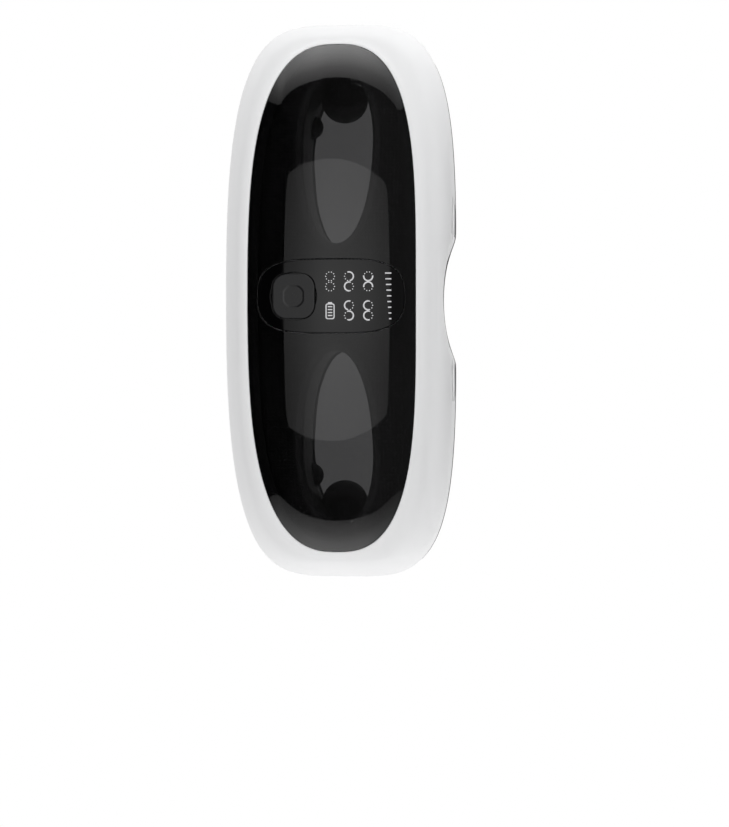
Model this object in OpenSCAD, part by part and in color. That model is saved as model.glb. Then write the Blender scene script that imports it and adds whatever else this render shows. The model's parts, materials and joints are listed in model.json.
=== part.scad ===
// See-through eye massager, worn upright: X runs across the face, the window faces -Y,
// the face cushion faces +Y and the brow side is up. Millimetres.
// It stands on the two cheek lobes beside the nose notch.

/* [Body] */
// Length of the body across the face
body_len = 184; // [180:1:188]
// Height of the body from cheek to brow
body_ht = 74.4; // [72:0.2:78]
// How far the ends of the body sweep back round the face
wrap_depth = 17; // [12:0.5:19]
// Depth of the rounded rim from the window edge to the widest section
rim_depth = 25; // [22:0.5:27]
// Wall thickness of the front shell
shell_wall = 2.2; // [1.8:0.1:2.6]
// Depth of the nose notch in the shell
notch_depth = 5.2; // [3:0.2:6.2]
// Width of the nose notch
notch_wide = 41; // [38:1:50]

/* [Window] */
// Length of the front window
window_len = 164.4; // [161:0.2:166]
// Height of the front window
window_ht = 53.8; // [52:0.2:55]
// Thickness of the window
window_thick = 1.8; // [1.5:0.1:2]
// Forward swell of the window between its edge and its middle
window_swell = 3; // [2:0.2:3.4]

/* [Eye tunnels] */
// Distance from the middle to the widest part of a tunnel
eye_x = 50; // [49:0.1:51]
// Reach of a tunnel towards the nose
eye_inner = 32.2; // [30:0.2:33]
// Reach of a tunnel towards the temple
eye_outer = 23.8; // [22.6:0.2:24.4]
// Half the height of a tunnel
eye_half = 11.2; // [10.4:0.1:11.6]
// Height of the tunnel axis from the middle of the body
eye_z = -1.1; // [-1.6:0.1:0]
// Wall thickness of the tunnels
tunnel_wall = 1.4; // [1.2:0.1:1.6]
// How much a tunnel widens towards the face
tunnel_flare = 1.7; // [1:0.1:2]

/* [Control panel] */
// Width of the control panel
panel_wide = 23.2; // [22.6:0.1:24]
// Height of the control panel
panel_tall = 46.5; // [45:0.1:47.4]
// Width of the power button
button_wide = 14.3; // [13.4:0.1:15]
// Height of the power button
button_tall = 13.8; // [12.8:0.1:14.4]
// Height of the button's middle above the middle of the panel
button_z = 11.8; // [11.4:0.1:12.4]
// Radius of the finger dimple in the button
dimple_r = 3.7; // [3:0.1:4.5]
// Travel of the power button
button_travel = 0.6; // [0.3:0.1:0.6]

/* [Massage heads] */
// Radius of a temple head
temple_r = 7.8; // [7.2:0.1:8]
// Radius of a brow head
brow_r = 4; // [3.6:0.1:4.4]
// Radius of a temple head's stem
temple_stem_r = 2.5; // [2.2:0.1:2.8]
// Radius of a brow head's stem
brow_stem_r = 1.6; // [1.4:0.1:1.8]
// Radial clearance of a stem in its guide
stem_gap = 0.05; // [0.03:0.01:0.09]

/* [Cushion] */
// Half the length of the face cushion
cushion_half = 82.5; // [81:0.5:83]
// Thickness of the face cushion at its crown
cushion_thick = 10.6; // [9:0.1:11]

/* [Hidden] */
$fn = 48;

// Points on an outline, and how much closer together they lie on the long sides
ring_n = 64;
ring_warp = 8.6;
egg_n = 40;

// Roundness of the ends and of the long sides, of the window and of the body
window_end_p = 2.62;
window_side_p = 3.14;
body_end_p = 4.1;
body_side_p = 3.46;

half_len = body_len / 2;
half_ht = body_ht / 2;
window_edge_y = -31;
widest_y = window_edge_y + rim_depth;
shell_back_y = 6;
back_draft = 0.1;
flange_back_y = 9;
plate_front_y = 6.5;
lip = 0.5;
seat_gap = 0.05;
lens_gap = 0.15;
ledge_in = 3;
gasket_thick = 0.3;
ledge_y = window_edge_y + window_thick + gasket_thick + seat_gap;
ledge_thick = 1.7;
frame_front_y = ledge_y + ledge_thick + seat_gap;
frame_thick = 1.4;
joint_y = -14;
panel_gap = 0.2;
panel_thick = 1.7;
panel_front_y = window_edge_y - window_swell;
board_front_y = -25.2;
board_thick = 1.6;
board_wide = panel_wide + 6.6;
board_tall = panel_tall + 1.5;

// A value between a and b
function between(a, b, t) = a + (b - a) * t;

// Sweep of every layer round the face
function wrap(x) = wrap_depth * pow(x / half_len, 2);

// Nose notch across the face, with soft shoulders
function arch(x) = let (c = cos(180 * min(abs(x), notch_wide) / notch_wide))
    (c + sqrt(c * c + 0.008)) / 2;

// How the notch deepens from behind the window back to the flange
notch_start_y = -25.4;
function deepening(y) = pow(max(0, y - notch_start_y) / (shell_back_y - notch_start_y), 0.8);

// Direction of point i of n on an outline
function turn(i, n) = 360 * i / n + ring_warp * sin(720 * i / n);

// A point of a rounded outline with its own roundness at the ends and on the sides
function outline(a, l, h, pe, ps) = let (
        c = cos(a),
        s = sin(a),
        p = pe * c * c + ps * s * s,
        r = pow(pow(abs(c), p) + pow(abs(s), p), -1 / p))
    [l * r * c, h * r * s];

// Body outline between the window (f = 0) and the widest section (f = 1)
function body_point(a, f, inset) = outline(a,
    between(window_len / 2 + lip, half_len, f) - inset,
    between(window_ht / 2 + lip, half_ht, f) - inset,
    between(window_end_p, body_end_p, f), between(window_side_p, body_side_p, f));

// One ring of the body, swept round the face and notched for the nose
function body_ring(f, inset, y, n = ring_n) = [for (i = [0:n - 1])
    let (q = body_point(turn(i, n), f, inset),
        up = q[1] < 0 ? notch_depth * deepening(y) * arch(q[0]) : 0)
    [q[0], y + wrap(q[0]), q[1] + up]];

// A ring of the window and of the layers behind it; rho = 1 is the window edge
function window_ring(rho, inset, y, swell, n = ring_n) = [for (i = [0:n - 1])
    let (q = rho * outline(turn(i, n), window_len / 2 - inset, window_ht / 2 - inset,
            window_end_p, window_side_p))
    [q[0], y + wrap(q[0]) + swell * (rho * rho - 1), q[1]]];

// A ring of the rounded control panel outline
function panel_ring(rho, inset, y, n = 40) = [for (i = [0:n - 1])
    let (q = rho * outline(360 * i / n, panel_wide / 2 - inset, panel_tall / 2 - inset,
            3.6, 3),
        w = pow(q[1] / (window_ht / 2), 2))
    [q[0], y + wrap(q[0]) + window_swell * w, q[1]]];

// A leaf-shaped ring round the left eye, grown outwards by g, and less on the temple side
// where spread is below 1
function eye_ring(g, y, n = egg_n, spread = 1) = [for (i = [0:n - 1])
    let (c = cos(360 * i / n),
        x = eye_x + (c > 0 ? eye_outer + between(1.2, g, spread) : eye_inner + g) * c)
    [x, y + wrap(x), eye_z + (eye_half + g) * sin(360 * i / n)]];

// Joins points k*n+i of neighbouring rings with two triangles each
function ring_faces(m, n, closed) = [for (k = [0:(closed ? m - 1 : m - 2)])
    for (i = [0:n - 1])
        let (a = k * n + i,
            d = k * n + (i + 1) % n,
            b = ((k + 1) % m) * n + i,
            c = ((k + 1) % m) * n + (i + 1) % n)
        each [[a, d, c], [a, c, b]]];

// A closed skin over rings with a middle point at the front and one at the back
module skin(rings, front, back) {
    n = len(rings[0]);
    m = len(rings);
    pts = concat([for (r = rings) each r], [front, back]);
    caps_front = [for (i = [0:n - 1]) [m * n, (i + 1) % n, i]];
    caps_back = [for (i = [0:n - 1]) [m * n + 1, (m - 1) * n + i, (m - 1) * n + (i + 1) % n]];
    polyhedron(pts, concat(ring_faces(m, n, false), caps_front, caps_back), convexity = 8);
}

// A closed hoop: the last ring joins the first
module hoop(rings) {
    polyhedron([for (r = rings) each r], ring_faces(len(rings), len(rings[0]), true),
        convexity = 8);
}

// Middle point of a ring's layer
function middle(y) = [0, y, 0];

// Middle point of a leaf-shaped ring's layer
function eye_middle(y) = [eye_x, y + wrap(eye_x), eye_z];

// The cheek lobes end in small flats, and the parts are lifted to stand on them at height 0
lobe_flat = 0.2;
lift = -lobe_flat - min([for (q = body_ring(1, 0, widest_y)) q[2]]);
module lifted() {
    translate([0, 0, lift])
        children();
}

// The same thing on the left and on the right
module both_sides() {
    children();
    mirror([1, 0, 0])
        children();
}

// A cylinder along Y from y1 to y2
module along_y(x, z, r, y1, y2) {
    translate([x, y1, z])
        rotate([-90, 0, 0])
            cylinder(r = r, h = y2 - y1);
}

// A cylinder along X from x1 to x2
module along_x(x1, x2, y, z, r) {
    translate([x1, y, z])
        rotate([0, 90, 0])
            cylinder(r = r, h = x2 - x1);
}

// A block between two corners
module block(a, b) {
    translate(a)
        cube([b[0] - a[0], b[1] - a[1], b[2] - a[2]]);
}

// A block with rounded corners in the X-Z plane, from y1 to y2
module pad(w, h, r, y1, y2) {
    translate([0, y2, 0])
        rotate([90, 0, 0])
            linear_extrude(y2 - y1)
                rounded(w, h, r);
}

// A rectangle with rounded corners
module rounded(w, h, r) {
    square([w - 2 * r, h], center = true);
    square([w, h - 2 * r], center = true);
    for (sx = [-1, 1])
        for (sy = [-1, 1])
            translate([sx * (w / 2 - r), sy * (h / 2 - r)])
                circle(r = r);
}

// Screws that close the shell: x, z and the front end of the boss
boss_r = 2.8;
screw_r = 1;
screw_head_r = 1.9;
screw_head_h = 1.2;
screw_len = 9;
boss_top = half_ht - 5.4;
boss_bottom = notch_depth + 4.8 - half_ht;
bosses = [[0, boss_top], [0, boss_bottom],
    for (sx = [-1, 1]) each [[sx * (half_len - 22.5), half_ht - 12],
        [sx * (half_len - 25.5), 11.4 - half_ht]]];
boss_pad_r = 2;

// Whether a point across the body lies outside its outline at step f
function outside(x, z, f) = let (
        l = between(window_len / 2 + lip, half_len, f),
        h = between(window_ht / 2 + lip, half_ht, f),
        y = window_edge_y + rim_depth * (1 - sqrt(1 - f * f)),
        z0 = z < 0 ? z - notch_depth * deepening(y) * arch(x) : z,
        q = outline(atan2(z0 / h, x / l), 1, 1,
            between(window_end_p, body_end_p, f), between(window_side_p, body_side_p, f)))
    norm([x / l, z0 / h]) > norm(q);

// Depth of the shell's outside at a point across the body, found by halving
function rim_step(x, z, low = 0, high = 1, k = 14) = k == 0 ? high
    : outside(x, z, (low + high) / 2) ? rim_step(x, z, (low + high) / 2, high, k - 1)
    : rim_step(x, z, low, (low + high) / 2, k - 1);
function rim_y(x, z) = window_edge_y + wrap(x)
    + rim_depth * (1 - sqrt(1 - pow(rim_step(x, z), 2)));

// Front end of a boss: inside the wall of the front shell, and behind the inner frame
function boss_front(b) = max(frame_front_y + frame_thick + 0.15 + wrap(b[0]),
    1.2 + max([for (a = [0:45:315])
        rim_y(b[0] + boss_r * cos(a), b[1] + boss_r * sin(a))]));

// Front face of the pad on the rear shell that a boss stands on
function boss_end(b) = plate_front_y + wrap(b[0]) - 1.4;

// Rear end of the screw head in its counterbore
function head_back(b) = flange_back_y + wrap(b[0]) - 1.1;

// Charging socket, on the brow side near the right end
socket_x = -44;
socket_y = 0.4;
socket_wide = 9;
socket_deep = 3.2;
socket_gap = 0.2;

// Small sound holes in each end of the shell
sound_y = wrap(half_len) + 0.5;

// White front shell: a rounded rim round the window with a ledge for it,
// a nose notch, screw bosses, the charging slot and sound holes
module front_shell() {
    steps = [0, 15, 30, 45, 60, 75, 90];
    outer = concat(
        [for (t = steps) body_ring(sin(t), 0, window_edge_y + rim_depth * (1 - cos(t)))],
        [body_ring(1, back_draft, shell_back_y)]);
    inner = [
        body_ring(1, back_draft + shell_wall, shell_back_y),
        body_ring(1, shell_wall, widest_y),
        body_ring(sin(60), shell_wall, window_edge_y + rim_depth * (1 - cos(60)) + 1.2),
        body_ring(sin(35), shell_wall, window_edge_y + rim_depth * (1 - cos(35)) + 1.9),
        body_ring(0, lip, ledge_y + ledge_thick),
        body_ring(0, lip + ledge_in, ledge_y + ledge_thick),
        body_ring(0, lip + ledge_in, ledge_y),
        body_ring(0, lip - lens_gap, ledge_y),
        body_ring(0, lip - lens_gap, window_edge_y)];
    color([0.94, 0.94, 0.95])
        lifted()
            difference() {
                union() {
                    hoop(concat(outer, inner));
                    for (b = bosses)
                        along_y(b[0], b[1], boss_r, boss_front(b), boss_end(b) - 0.02);
                }
                for (b = bosses)
                    along_y(b[0], b[1], screw_r + stem_gap, boss_end(b) - screw_len, 30);
                translate([socket_x, socket_y, half_ht - 1])
                    linear_extrude(8, center = true)
                        rounded(socket_wide + 2 * socket_gap, socket_deep + 2 * socket_gap,
                            (socket_deep + 2 * socket_gap) / 2 - 0.01);
                both_sides()
                    for (k = [-2:2])
                        along_x(half_len - 6, half_len + 2, sound_y, k * 3.4, 0.7);
                block([-half_len, window_edge_y, -half_ht - 9], [half_len, 60, -lift]);
            }
}

// Smoky front window with the opening for the control panel
module window_lens() {
    back_y = window_edge_y + window_thick;
    rhos = [0.25, 0.5, 0.75, 1];
    front = [for (r = rhos) window_ring(r, 0, window_edge_y, window_swell)];
    back = [for (k = [3:-1:0]) window_ring(rhos[k], 0, back_y, window_swell)];
    color([0.12, 0.12, 0.13, 0.6])
        lifted()
            difference() {
                skin(concat(front, back), middle(panel_front_y), middle(back_y - window_swell));
                skin([panel_ring(1, -panel_gap, panel_front_y - 2),
                        panel_ring(1, -panel_gap, panel_front_y + 4)],
                    middle(panel_front_y - 2), middle(panel_front_y + 4));
            }
}

// Black adhesive ring that holds the window on its ledge
module window_gasket() {
    y1 = window_edge_y + window_thick + 0.03;
    y2 = ledge_y - seat_gap;
    color([0.06, 0.06, 0.06])
        lifted()
            hoop([body_ring(0, lip, y1), body_ring(0, lip, y2),
                body_ring(0, lip + ledge_in - 0.1, y2), body_ring(0, lip + ledge_in - 0.1, y1)]);
}

// Tilt of the window's face where the power button sits
button_tilt = -atan(2 * window_swell * button_z / pow(window_ht / 2, 2));
button_face_y = panel_front_y + window_swell * pow(button_z / (window_ht / 2), 2);

// Puts a thing at the middle of the button's face, level with the window there
module at_button() {
    translate([0, button_face_y, button_z])
        rotate([button_tilt, 0, 0])
            children();
}

// Glossy control panel let into the window, with the button's aperture
module control_panel() {
    y1 = panel_front_y;
    y2 = panel_front_y + panel_thick;
    color([0.06, 0.06, 0.07])
        lifted()
            difference() {
                skin([panel_ring(0.5, 0, y1), panel_ring(1, 0, y1), panel_ring(1, 0, y2),
                        panel_ring(0.5, 0, y2)],
                    middle(y1), middle(y2));
                at_button()
                    pad(button_wide + 2 * panel_gap, button_tall + 2 * panel_gap, 4.2, -2, 4);
            }
}

// Power button: a rounded square key with a finger dimple, a retaining flange and a stem
key_front = 0.1;
key_flange = panel_thick + 0.6;
dimple_ball = dimple_r * 2;
switch_front_y = board_front_y - 2.6;
module power_button() {
    stem_end = (switch_front_y - button_travel - 0.15 - button_face_y) / cos(button_tilt);
    color([0.1, 0.1, 0.11])
        lifted()
            at_button()
                difference() {
                    union() {
                        pad(button_wide, button_tall, 4, key_front, key_flange + 0.1);
                        pad(button_wide + 2, button_tall + 0.6, 4, key_flange, key_flange + 0.8);
                        along_y(0, 0, 1.6, key_flange, stem_end);
                    }
                    translate([0, key_front - sqrt(pow(dimple_ball, 2) - pow(dimple_r, 2)), 0])
                        sphere(r = dimple_ball, $fn = 96);
                }
}

// Function marks: rows of light wells below the button, and one slot for the level bar
well_x = 4.6;
well_z = [0, -6, -12];
bar_z = -18.3;
mask_half = panel_wide / 2 - 2.7;
mask_front_y = panel_front_y + panel_thick + window_swell * 0.75;
module led_mask() {
    color([0.15, 0.15, 0.15])
        lifted()
            difference() {
                block([-mask_half, mask_front_y, bar_z - 2],
                    [mask_half, board_front_y - 0.02, well_z[0] + 3.4]);
                for (sx = [-1, 1])
                    for (z = well_z)
                        block([sx * well_x - 3.6, mask_front_y - 1, z - 2.1],
                            [sx * well_x + 3.6, board_front_y + 1, z + 2.1]);
                block([-mask_half + 1, mask_front_y - 1, bar_z - 1.3],
                    [mask_half - 1, board_front_y + 1, bar_z + 1.3]);
            }
}

// One lamp in every light well
module led_lamps() {
    color([0.95, 0.93, 0.8])
        lifted() {
            for (sx = [-1, 1])
                for (z = well_z)
                    block([sx * well_x - 1, board_front_y - 0.8, z - 0.6],
                        [sx * well_x + 1, board_front_y, z + 0.6]);
            for (x = [-5.4, 0, 5.4])
                block([x - 1, board_front_y - 0.8, bar_z - 0.6],
                    [x + 1, board_front_y, bar_z + 0.6]);
        }
}

// Click switch under the button's stem
module tact_switch() {
    color([0.75, 0.75, 0.76])
        lifted() {
            block([-3, board_front_y - 1.9, button_z - 3], [3, board_front_y, button_z + 3]);
            along_y(0, button_z, 1.2, switch_front_y, board_front_y - 1.8);
        }
}

// Main circuit board, on four posts behind the inner frame
post_x = panel_wide / 2 + 0.4;
post_z = panel_tall / 2 - 2.8;
board_posts = [[post_x, post_z], [-post_x, post_z], [post_x, -post_z], [-post_x, -post_z]];
module main_board() {
    color([0.08, 0.35, 0.18])
        lifted()
            difference() {
                pad(board_wide, board_tall, 3, board_front_y, board_front_y + board_thick);
                for (p = board_posts)
                    along_y(p[0], p[1], 0.9, board_front_y - 1, board_front_y + 3);
            }
}

// Chips and coils on the back of the main board
module main_chips() {
    y = board_front_y + board_thick;
    color([0.1, 0.1, 0.12])
        lifted() {
            block([-5, y, 3], [5, y + 1.4, 13]);
            block([-6, y, -12], [1, y + 1.2, -6]);
            block([4, y, -13], [10, y + 2.6, -7]);
            block([-10, y, 15], [-5.4, y + 1.1, 19]);
            along_y(7, 18, 3, y, y + 3);
        }
}

// Dark inner frame behind the window: the textured plate, the front halves of the
// eye tunnels, the rim that carries the control panel, and the board posts
module inner_frame() {
    y1 = frame_front_y;
    y2 = frame_front_y + frame_thick;
    in = 0.9;
    rim_y = panel_front_y + panel_thick;
    color([0.12, 0.12, 0.13])
        lifted()
            difference() {
                union() {
                    skin([for (r = [0.3, 0.62, 0.9]) window_ring(r, in, y1 + 0.19 * window_swell,
                                window_swell),
                            window_ring(1, in, y1, 0), window_ring(1, in, y2, 0),
                            for (r = [0.9, 0.62, 0.3]) window_ring(r, in,
                                y2 + 0.19 * window_swell, window_swell)],
                        middle(y1 - 0.81 * window_swell), middle(y2 - 0.81 * window_swell));
                    both_sides()
                        skin([eye_ring(tunnel_wall, y1 + 0.2), eye_ring(tunnel_wall, joint_y)],
                            eye_middle(y1 + 0.2), eye_middle(joint_y));
                    skin([panel_ring(1, 0.5, rim_y + 0.03), panel_ring(1, 0.5, rim_y + 3)],
                        middle(rim_y + 0.03), middle(rim_y + 3));
                    for (p = board_posts)
                        along_y(p[0], p[1], 2, y2 - 2, board_front_y - 0.02);
                }
                both_sides()
                    skin([eye_ring(2, y1 - 3), eye_ring(0.7, y1 - 0.4), eye_ring(0, y1 + 1.2),
                            eye_ring(0, joint_y + 1)],
                        eye_middle(y1 - 3), eye_middle(joint_y + 1));
                pad(panel_wide - 4.4, panel_tall - 4.8, 1.5, panel_front_y - 1,
                    board_front_y + 1);
                for (p = board_posts)
                    along_y(p[0], p[1], 0.8, y2 - 1.6, board_front_y + 1);
            }
}

// Where the temple heads and brow heads sit and how they press
temple_c = [eye_x + eye_outer - 6.2, 10, eye_z + 1.5];
temple_tilt = 48;
temple_travel = 3;
brow_c = [eye_x + 8, 5, eye_z + eye_half + 0.9];
brow_tilt = 60;
brow_travel = 2;

// Puts a thing along the left temple head's axis: +Z there presses inwards and back
module at_temple() {
    translate(temple_c)
        rotate([0, 0, temple_tilt])
            rotate([-90, 0, 0])
                children();
}

// Puts a thing along the left brow head's axis: +Z there presses down and back
module at_brow() {
    translate(brow_c)
        rotate([-90 - brow_tilt, 0, 0])
            children();
}

// Cells, pump and valve on the rear shell's saddles
cell_r = 7;
cell_y = -2;
cell_z = 14 - half_ht;
cell_in = 12;
cell_len = 50;
pump_r = 7.8;
pump_y = -9;
pump_z = half_ht - 14.4;
pump_x = 18;
pump_head_len = 13;
pump_motor_len = 21;
valve_x = -23;
valve_z = half_ht - 14.2;
motor_r = 3.5;
motor_x = half_len - 28.5;
motor_len = 12;
motor_y = 4;
motor_z = half_ht - 19.2;
weight_r = 4.4;
speaker_r = 8;
speaker_x = half_len - 7;
speaker_y = wrap(speaker_x) - 5.5;
speaker_z = eye_z;
lug_r = 2.2;
lug_x = half_len - 5.8;
lug_y = flange_back_y + wrap(lug_x) + 6.87;
lug_z = 12;
lug_t = 3;
pin_r = 1.25;

// A saddle along the plate for something round that lies along X
module saddle(x, y, z, r, wide) {
    difference() {
        block([x - wide / 2, y, z - r - 1], [x + wide / 2, plate_front_y + wrap(x) + 1.2,
                z + r + 1]);
        along_x(x - wide, x + wide, y, z, r + seat_gap);
    }
}

// How far a tunnel has widened at a depth behind the joint of its two halves
function flare(y) = tunnel_flare * max(0, y - joint_y) / (flange_back_y - joint_y);

// A tunnel's space between two depths, grown outwards by g
module flared(g, ya, yb) {
    skin([eye_ring(g + flare(ya), ya), eye_ring(g + flare(yb), yb)],
        eye_middle(ya), eye_middle(yb));
}

// Rear half of an eye tunnel, with the guides of its two massage heads. It plugs into
// the rear shell and meets the half on the inner frame
sleeve_back_y = plate_front_y + 1;
module eye_sleeve() {
    difference() {
        union() {
            flared(tunnel_wall, joint_y + 0.3, sleeve_back_y);
            at_temple() {
                translate([0, 0, -13.2])
                    cylinder(r = temple_stem_r + 1.7, h = 6.4);
                translate([0, 0, -3.2])
                    cylinder(r = temple_r + 1.5, h = 4.6);
            }
            at_brow() {
                translate([0, 0, -9.4])
                    cylinder(r = brow_stem_r + 1.5, h = 7.4);
                translate([0, 0, -3.4])
                    cylinder(r = brow_r + 1.5, h = 3);
            }
        }
        flared(0, joint_y - 1, sleeve_back_y + 1);
        at_temple() {
            translate([0, 0, -16])
                cylinder(r = temple_stem_r + stem_gap, h = 12);
            translate([0, 0, -1.8])
                cylinder(r = temple_r + 0.35, h = 10);
        }
        at_brow() {
            translate([0, 0, -11])
                cylinder(r = brow_stem_r + stem_gap, h = 12);
            translate([0, 0, -1.55])
                cylinder(r = brow_r + 0.35, h = 8);
        }
    }
}

module eye_sleeve_left() {
    color([0.11, 0.11, 0.12])
        lifted()
            eye_sleeve();
}

module eye_sleeve_right() {
    color([0.11, 0.11, 0.12])
        lifted()
            mirror([1, 0, 0])
                eye_sleeve();
}

// Dark rear shell: spigot and flange that close the front shell, with the openings of
// the tunnels, saddles, screw pads, speaker seats and strap lugs
module rear_shell() {
    y0 = 3;
    y1 = plate_front_y;
    y2 = flange_back_y;
    fit = shell_wall + 0.45;
    color([0.09, 0.09, 0.1])
        lifted()
            difference() {
                union() {
                    skin([for (r = plate_steps) scaled_ring(r, fit + 1.6, y1),
                            body_ring(1, fit + 1.6, y1), body_ring(1, fit + 1.6, y0),
                            body_ring(1, fit, y0), body_ring(1, fit, shell_back_y + 0.05),
                            body_ring(1, 0.25, shell_back_y + 0.05), body_ring(1, 0.6, y2),
                            body_ring(1, fit + 3, y2),
                            for (k = [4:-1:0]) scaled_ring(plate_steps[k], fit + 3, y2)],
                        middle(y1), middle(y2));
                    both_sides() {
                        saddle(cell_in + 8, cell_y, cell_z, cell_r, 4);
                        saddle(cell_in + cell_len - 8, cell_y, cell_z, cell_r, 4);
                        saddle(motor_x + 3.4, motor_y, motor_z, motor_r, 4);
                        saddle(motor_x + 9, motor_y, motor_z, motor_r, 3);
                        block([speaker_x - 1.6, speaker_y - 2, speaker_z - speaker_r - 1.5],
                            [speaker_x + 4, plate_front_y + wrap(speaker_x) + 1,
                                speaker_z + speaker_r + 1.5]);
                        for (sz = [-1, 1])
                            hull() {
                                translate([lug_x - lug_r, flange_back_y + wrap(lug_x) - 1.7,
                                        sz * lug_z - lug_t / 2])
                                    cube([2 * lug_r, 1, lug_t]);
                                translate([lug_x, lug_y, sz * lug_z - lug_t / 2])
                                    cylinder(r = lug_r, h = lug_t, $fn = 32);
                            }
                    }
                    saddle(pump_x + pump_head_len + 5, pump_y, pump_z, pump_r, 4);
                    saddle(pump_x + pump_head_len + 16, pump_y, pump_z, pump_r, 4);
                    for (b = bosses)
                        along_y(b[0], b[1], boss_pad_r, boss_end(b), y2 + wrap(b[0]) - 1);
                    valve_seat();
                    charge_posts();
                }
                both_sides() {
                    flared(0, y1 - 2, y2 + 2);
                    flared(tunnel_wall + seat_gap, y1 - 2, sleeve_back_y + 0.02);
                    along_x(speaker_x, speaker_x + 5, speaker_y, speaker_z,
                        speaker_r + seat_gap);
                    along_x(speaker_x - 2, speaker_x + 1, speaker_y, speaker_z, speaker_r - 2);
                    translate([lug_x, lug_y, 0])
                        cylinder(r = pin_r + 0.02, h = 2 * lug_z - 1, center = true);
                    along_y(branch_x, eye_z, branch_r + seat_gap, 0, 12);
                    block([lug_x - 2.6, flange_back_y + wrap(lug_x), lug_t / 2 - lug_z],
                        [half_len + 2, half_len, lug_z - lug_t / 2]);
                }
                for (b = bosses) {
                    along_y(b[0], b[1], boss_r + 0.15, -30, boss_end(b));
                    along_y(b[0], b[1], screw_r + 0.1, boss_end(b) - 1, y2 + wrap(b[0]) + 3);
                    along_y(b[0], b[1], screw_head_r + 0.1, head_back(b) - screw_head_h,
                        y2 + wrap(b[0]) + 3);
                }
            }
}

// Steps from the middle to the rim of the rear plate
plate_steps = [0.2, 0.38, 0.55, 0.71, 0.86];

// A ring of the rear plate inside the body outline
function scaled_ring(rho, inset, y) = [for (q = body_ring(1, inset, y))
    let (x = q[0] * rho) [x, y + wrap(x), q[2] * rho]];

// Seat for the air valve
valve_w = 7.6;
valve_h = 5.4;
valve_y1 = -14;
valve_y2 = -4;
module valve_seat() {
    back = plate_front_y + wrap(valve_x) + 1;
    difference() {
        block([valve_x - valve_w - 1.2, valve_y2 - 2, valve_z - valve_h + 1],
            [valve_x + valve_w + 1.2, back, valve_z + valve_h - 1]);
        block([valve_x - valve_w - seat_gap, valve_y2 - 6, valve_z - valve_h],
            [valve_x + valve_w + seat_gap, valve_y2 + seat_gap, valve_z + valve_h]);
        block([valve_x - valve_w + 2, valve_y2 - 1, valve_z - valve_h],
            [valve_x + valve_w - 2, back - 2, valve_z + valve_h]);
    }
}

// Posts for the charging board
board2_y = socket_y + socket_deep / 2;
post2_x = 6.6;
post2_z = half_ht - 15.4;
module charge_posts() {
    for (dx = [-post2_x, post2_x])
        difference() {
            along_y(socket_x + dx, post2_z, 2, board2_y + 1.02,
                plate_front_y + wrap(socket_x + dx) + 1);
            along_y(socket_x + dx, post2_z, 0.8, board2_y, board2_y + 6);
        }
}

// Soft face cushion with a crown, a nose arch and an opening for each eye
function cushion_notch(y) = between(0.95, 2.9,
    max(0, min(1, (y - flange_back_y) / cushion_thick)));
function cushion_ring(inset, y, rho = 1, n = 48) = [for (i = [0:n - 1])
    let (q = rho * outline(turn(i, n), cushion_half - inset, half_ht - 0.9 - inset, 3.4, 3.1),
        up = q[1] < 0 ? notch_depth * cushion_notch(y) * arch(q[0]) * rho : 0,
        sweep = 1 + 0.17 * (y - flange_back_y) / cushion_thick)
    [q[0], y + sweep * wrap(q[0]), q[1] + up]];
bladder_in = 3.2;
bladder_out = 9;
bladder_thick = 2.4;
film_thick = 0.4;
pocket_n = 32;
function soft_ring(g, y) = eye_ring(g, y, pocket_n, 0.7);
module face_cushion() {
    y0 = flange_back_y + 0.16;
    t = cushion_thick;
    pocket_back = flange_back_y + 0.3 + bladder_thick + film_thick + 0.3;
    color([0.16, 0.16, 0.17])
        lifted()
            difference() {
                skin([for (r = [0.25, 0.5, 0.76]) cushion_ring(1, y0, r),
                        cushion_ring(1, y0), cushion_ring(0.1, y0 + 0.22 * t),
                        cushion_ring(0.2, y0 + 0.46 * t), cushion_ring(2, y0 + 0.76 * t),
                        cushion_ring(5.4, y0 + 0.95 * t), cushion_ring(9.6, y0 + t),
                        cushion_ring(14, y0 + t, 0.55)],
                    middle(y0), middle(y0 + t));
                both_sides() {
                    skin([eye_ring(1.2, y0 - 2, pocket_n), eye_ring(1.2, y0 + 0.3 * t, pocket_n),
                            eye_ring(2.4, y0 + 0.66 * t, pocket_n, 0.2),
                            eye_ring(5.2, y0 + 0.9 * t, pocket_n, 0.2),
                            eye_ring(11, y0 + 1.2 * t, pocket_n, 0.2)],
                        eye_middle(y0 - 2), eye_middle(y0 + 1.2 * t));
                    hoop([soft_ring(bladder_out + 0.3, y0 - 0.8),
                            soft_ring(bladder_out + 0.3, pocket_back),
                            soft_ring(bladder_in - 0.3, pocket_back),
                            soft_ring(bladder_in - 0.3, y0 - 0.8)]);
                }
            }
}

// Air bladder round an eye, between the rear shell and the cushion
module bladder() {
    y0 = flange_back_y + 0.25;
    hoop([soft_ring(bladder_out - 0.8, y0), soft_ring(bladder_out, y0 + bladder_thick / 2),
            soft_ring(bladder_out - 0.8, y0 + bladder_thick),
            soft_ring(bladder_in + 0.8, y0 + bladder_thick),
            soft_ring(bladder_in, y0 + bladder_thick / 2), soft_ring(bladder_in + 0.8, y0)]);
}

module air_bladder_left() {
    color([0.75, 0.76, 0.78])
        lifted()
            bladder();
}

module air_bladder_right() {
    color([0.75, 0.76, 0.78])
        lifted()
            mirror([1, 0, 0])
                bladder();
}

// Heating film on the face side of a bladder
module film() {
    y0 = flange_back_y + 0.25 + bladder_thick + 0.05;
    hoop([soft_ring(bladder_out - 1, y0), soft_ring(bladder_out - 1, y0 + film_thick),
            soft_ring(bladder_in + 1, y0 + film_thick), soft_ring(bladder_in + 1, y0)]);
}

module heating_film_left() {
    color([0.8, 0.5, 0.2])
        lifted()
            film();
}

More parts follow.
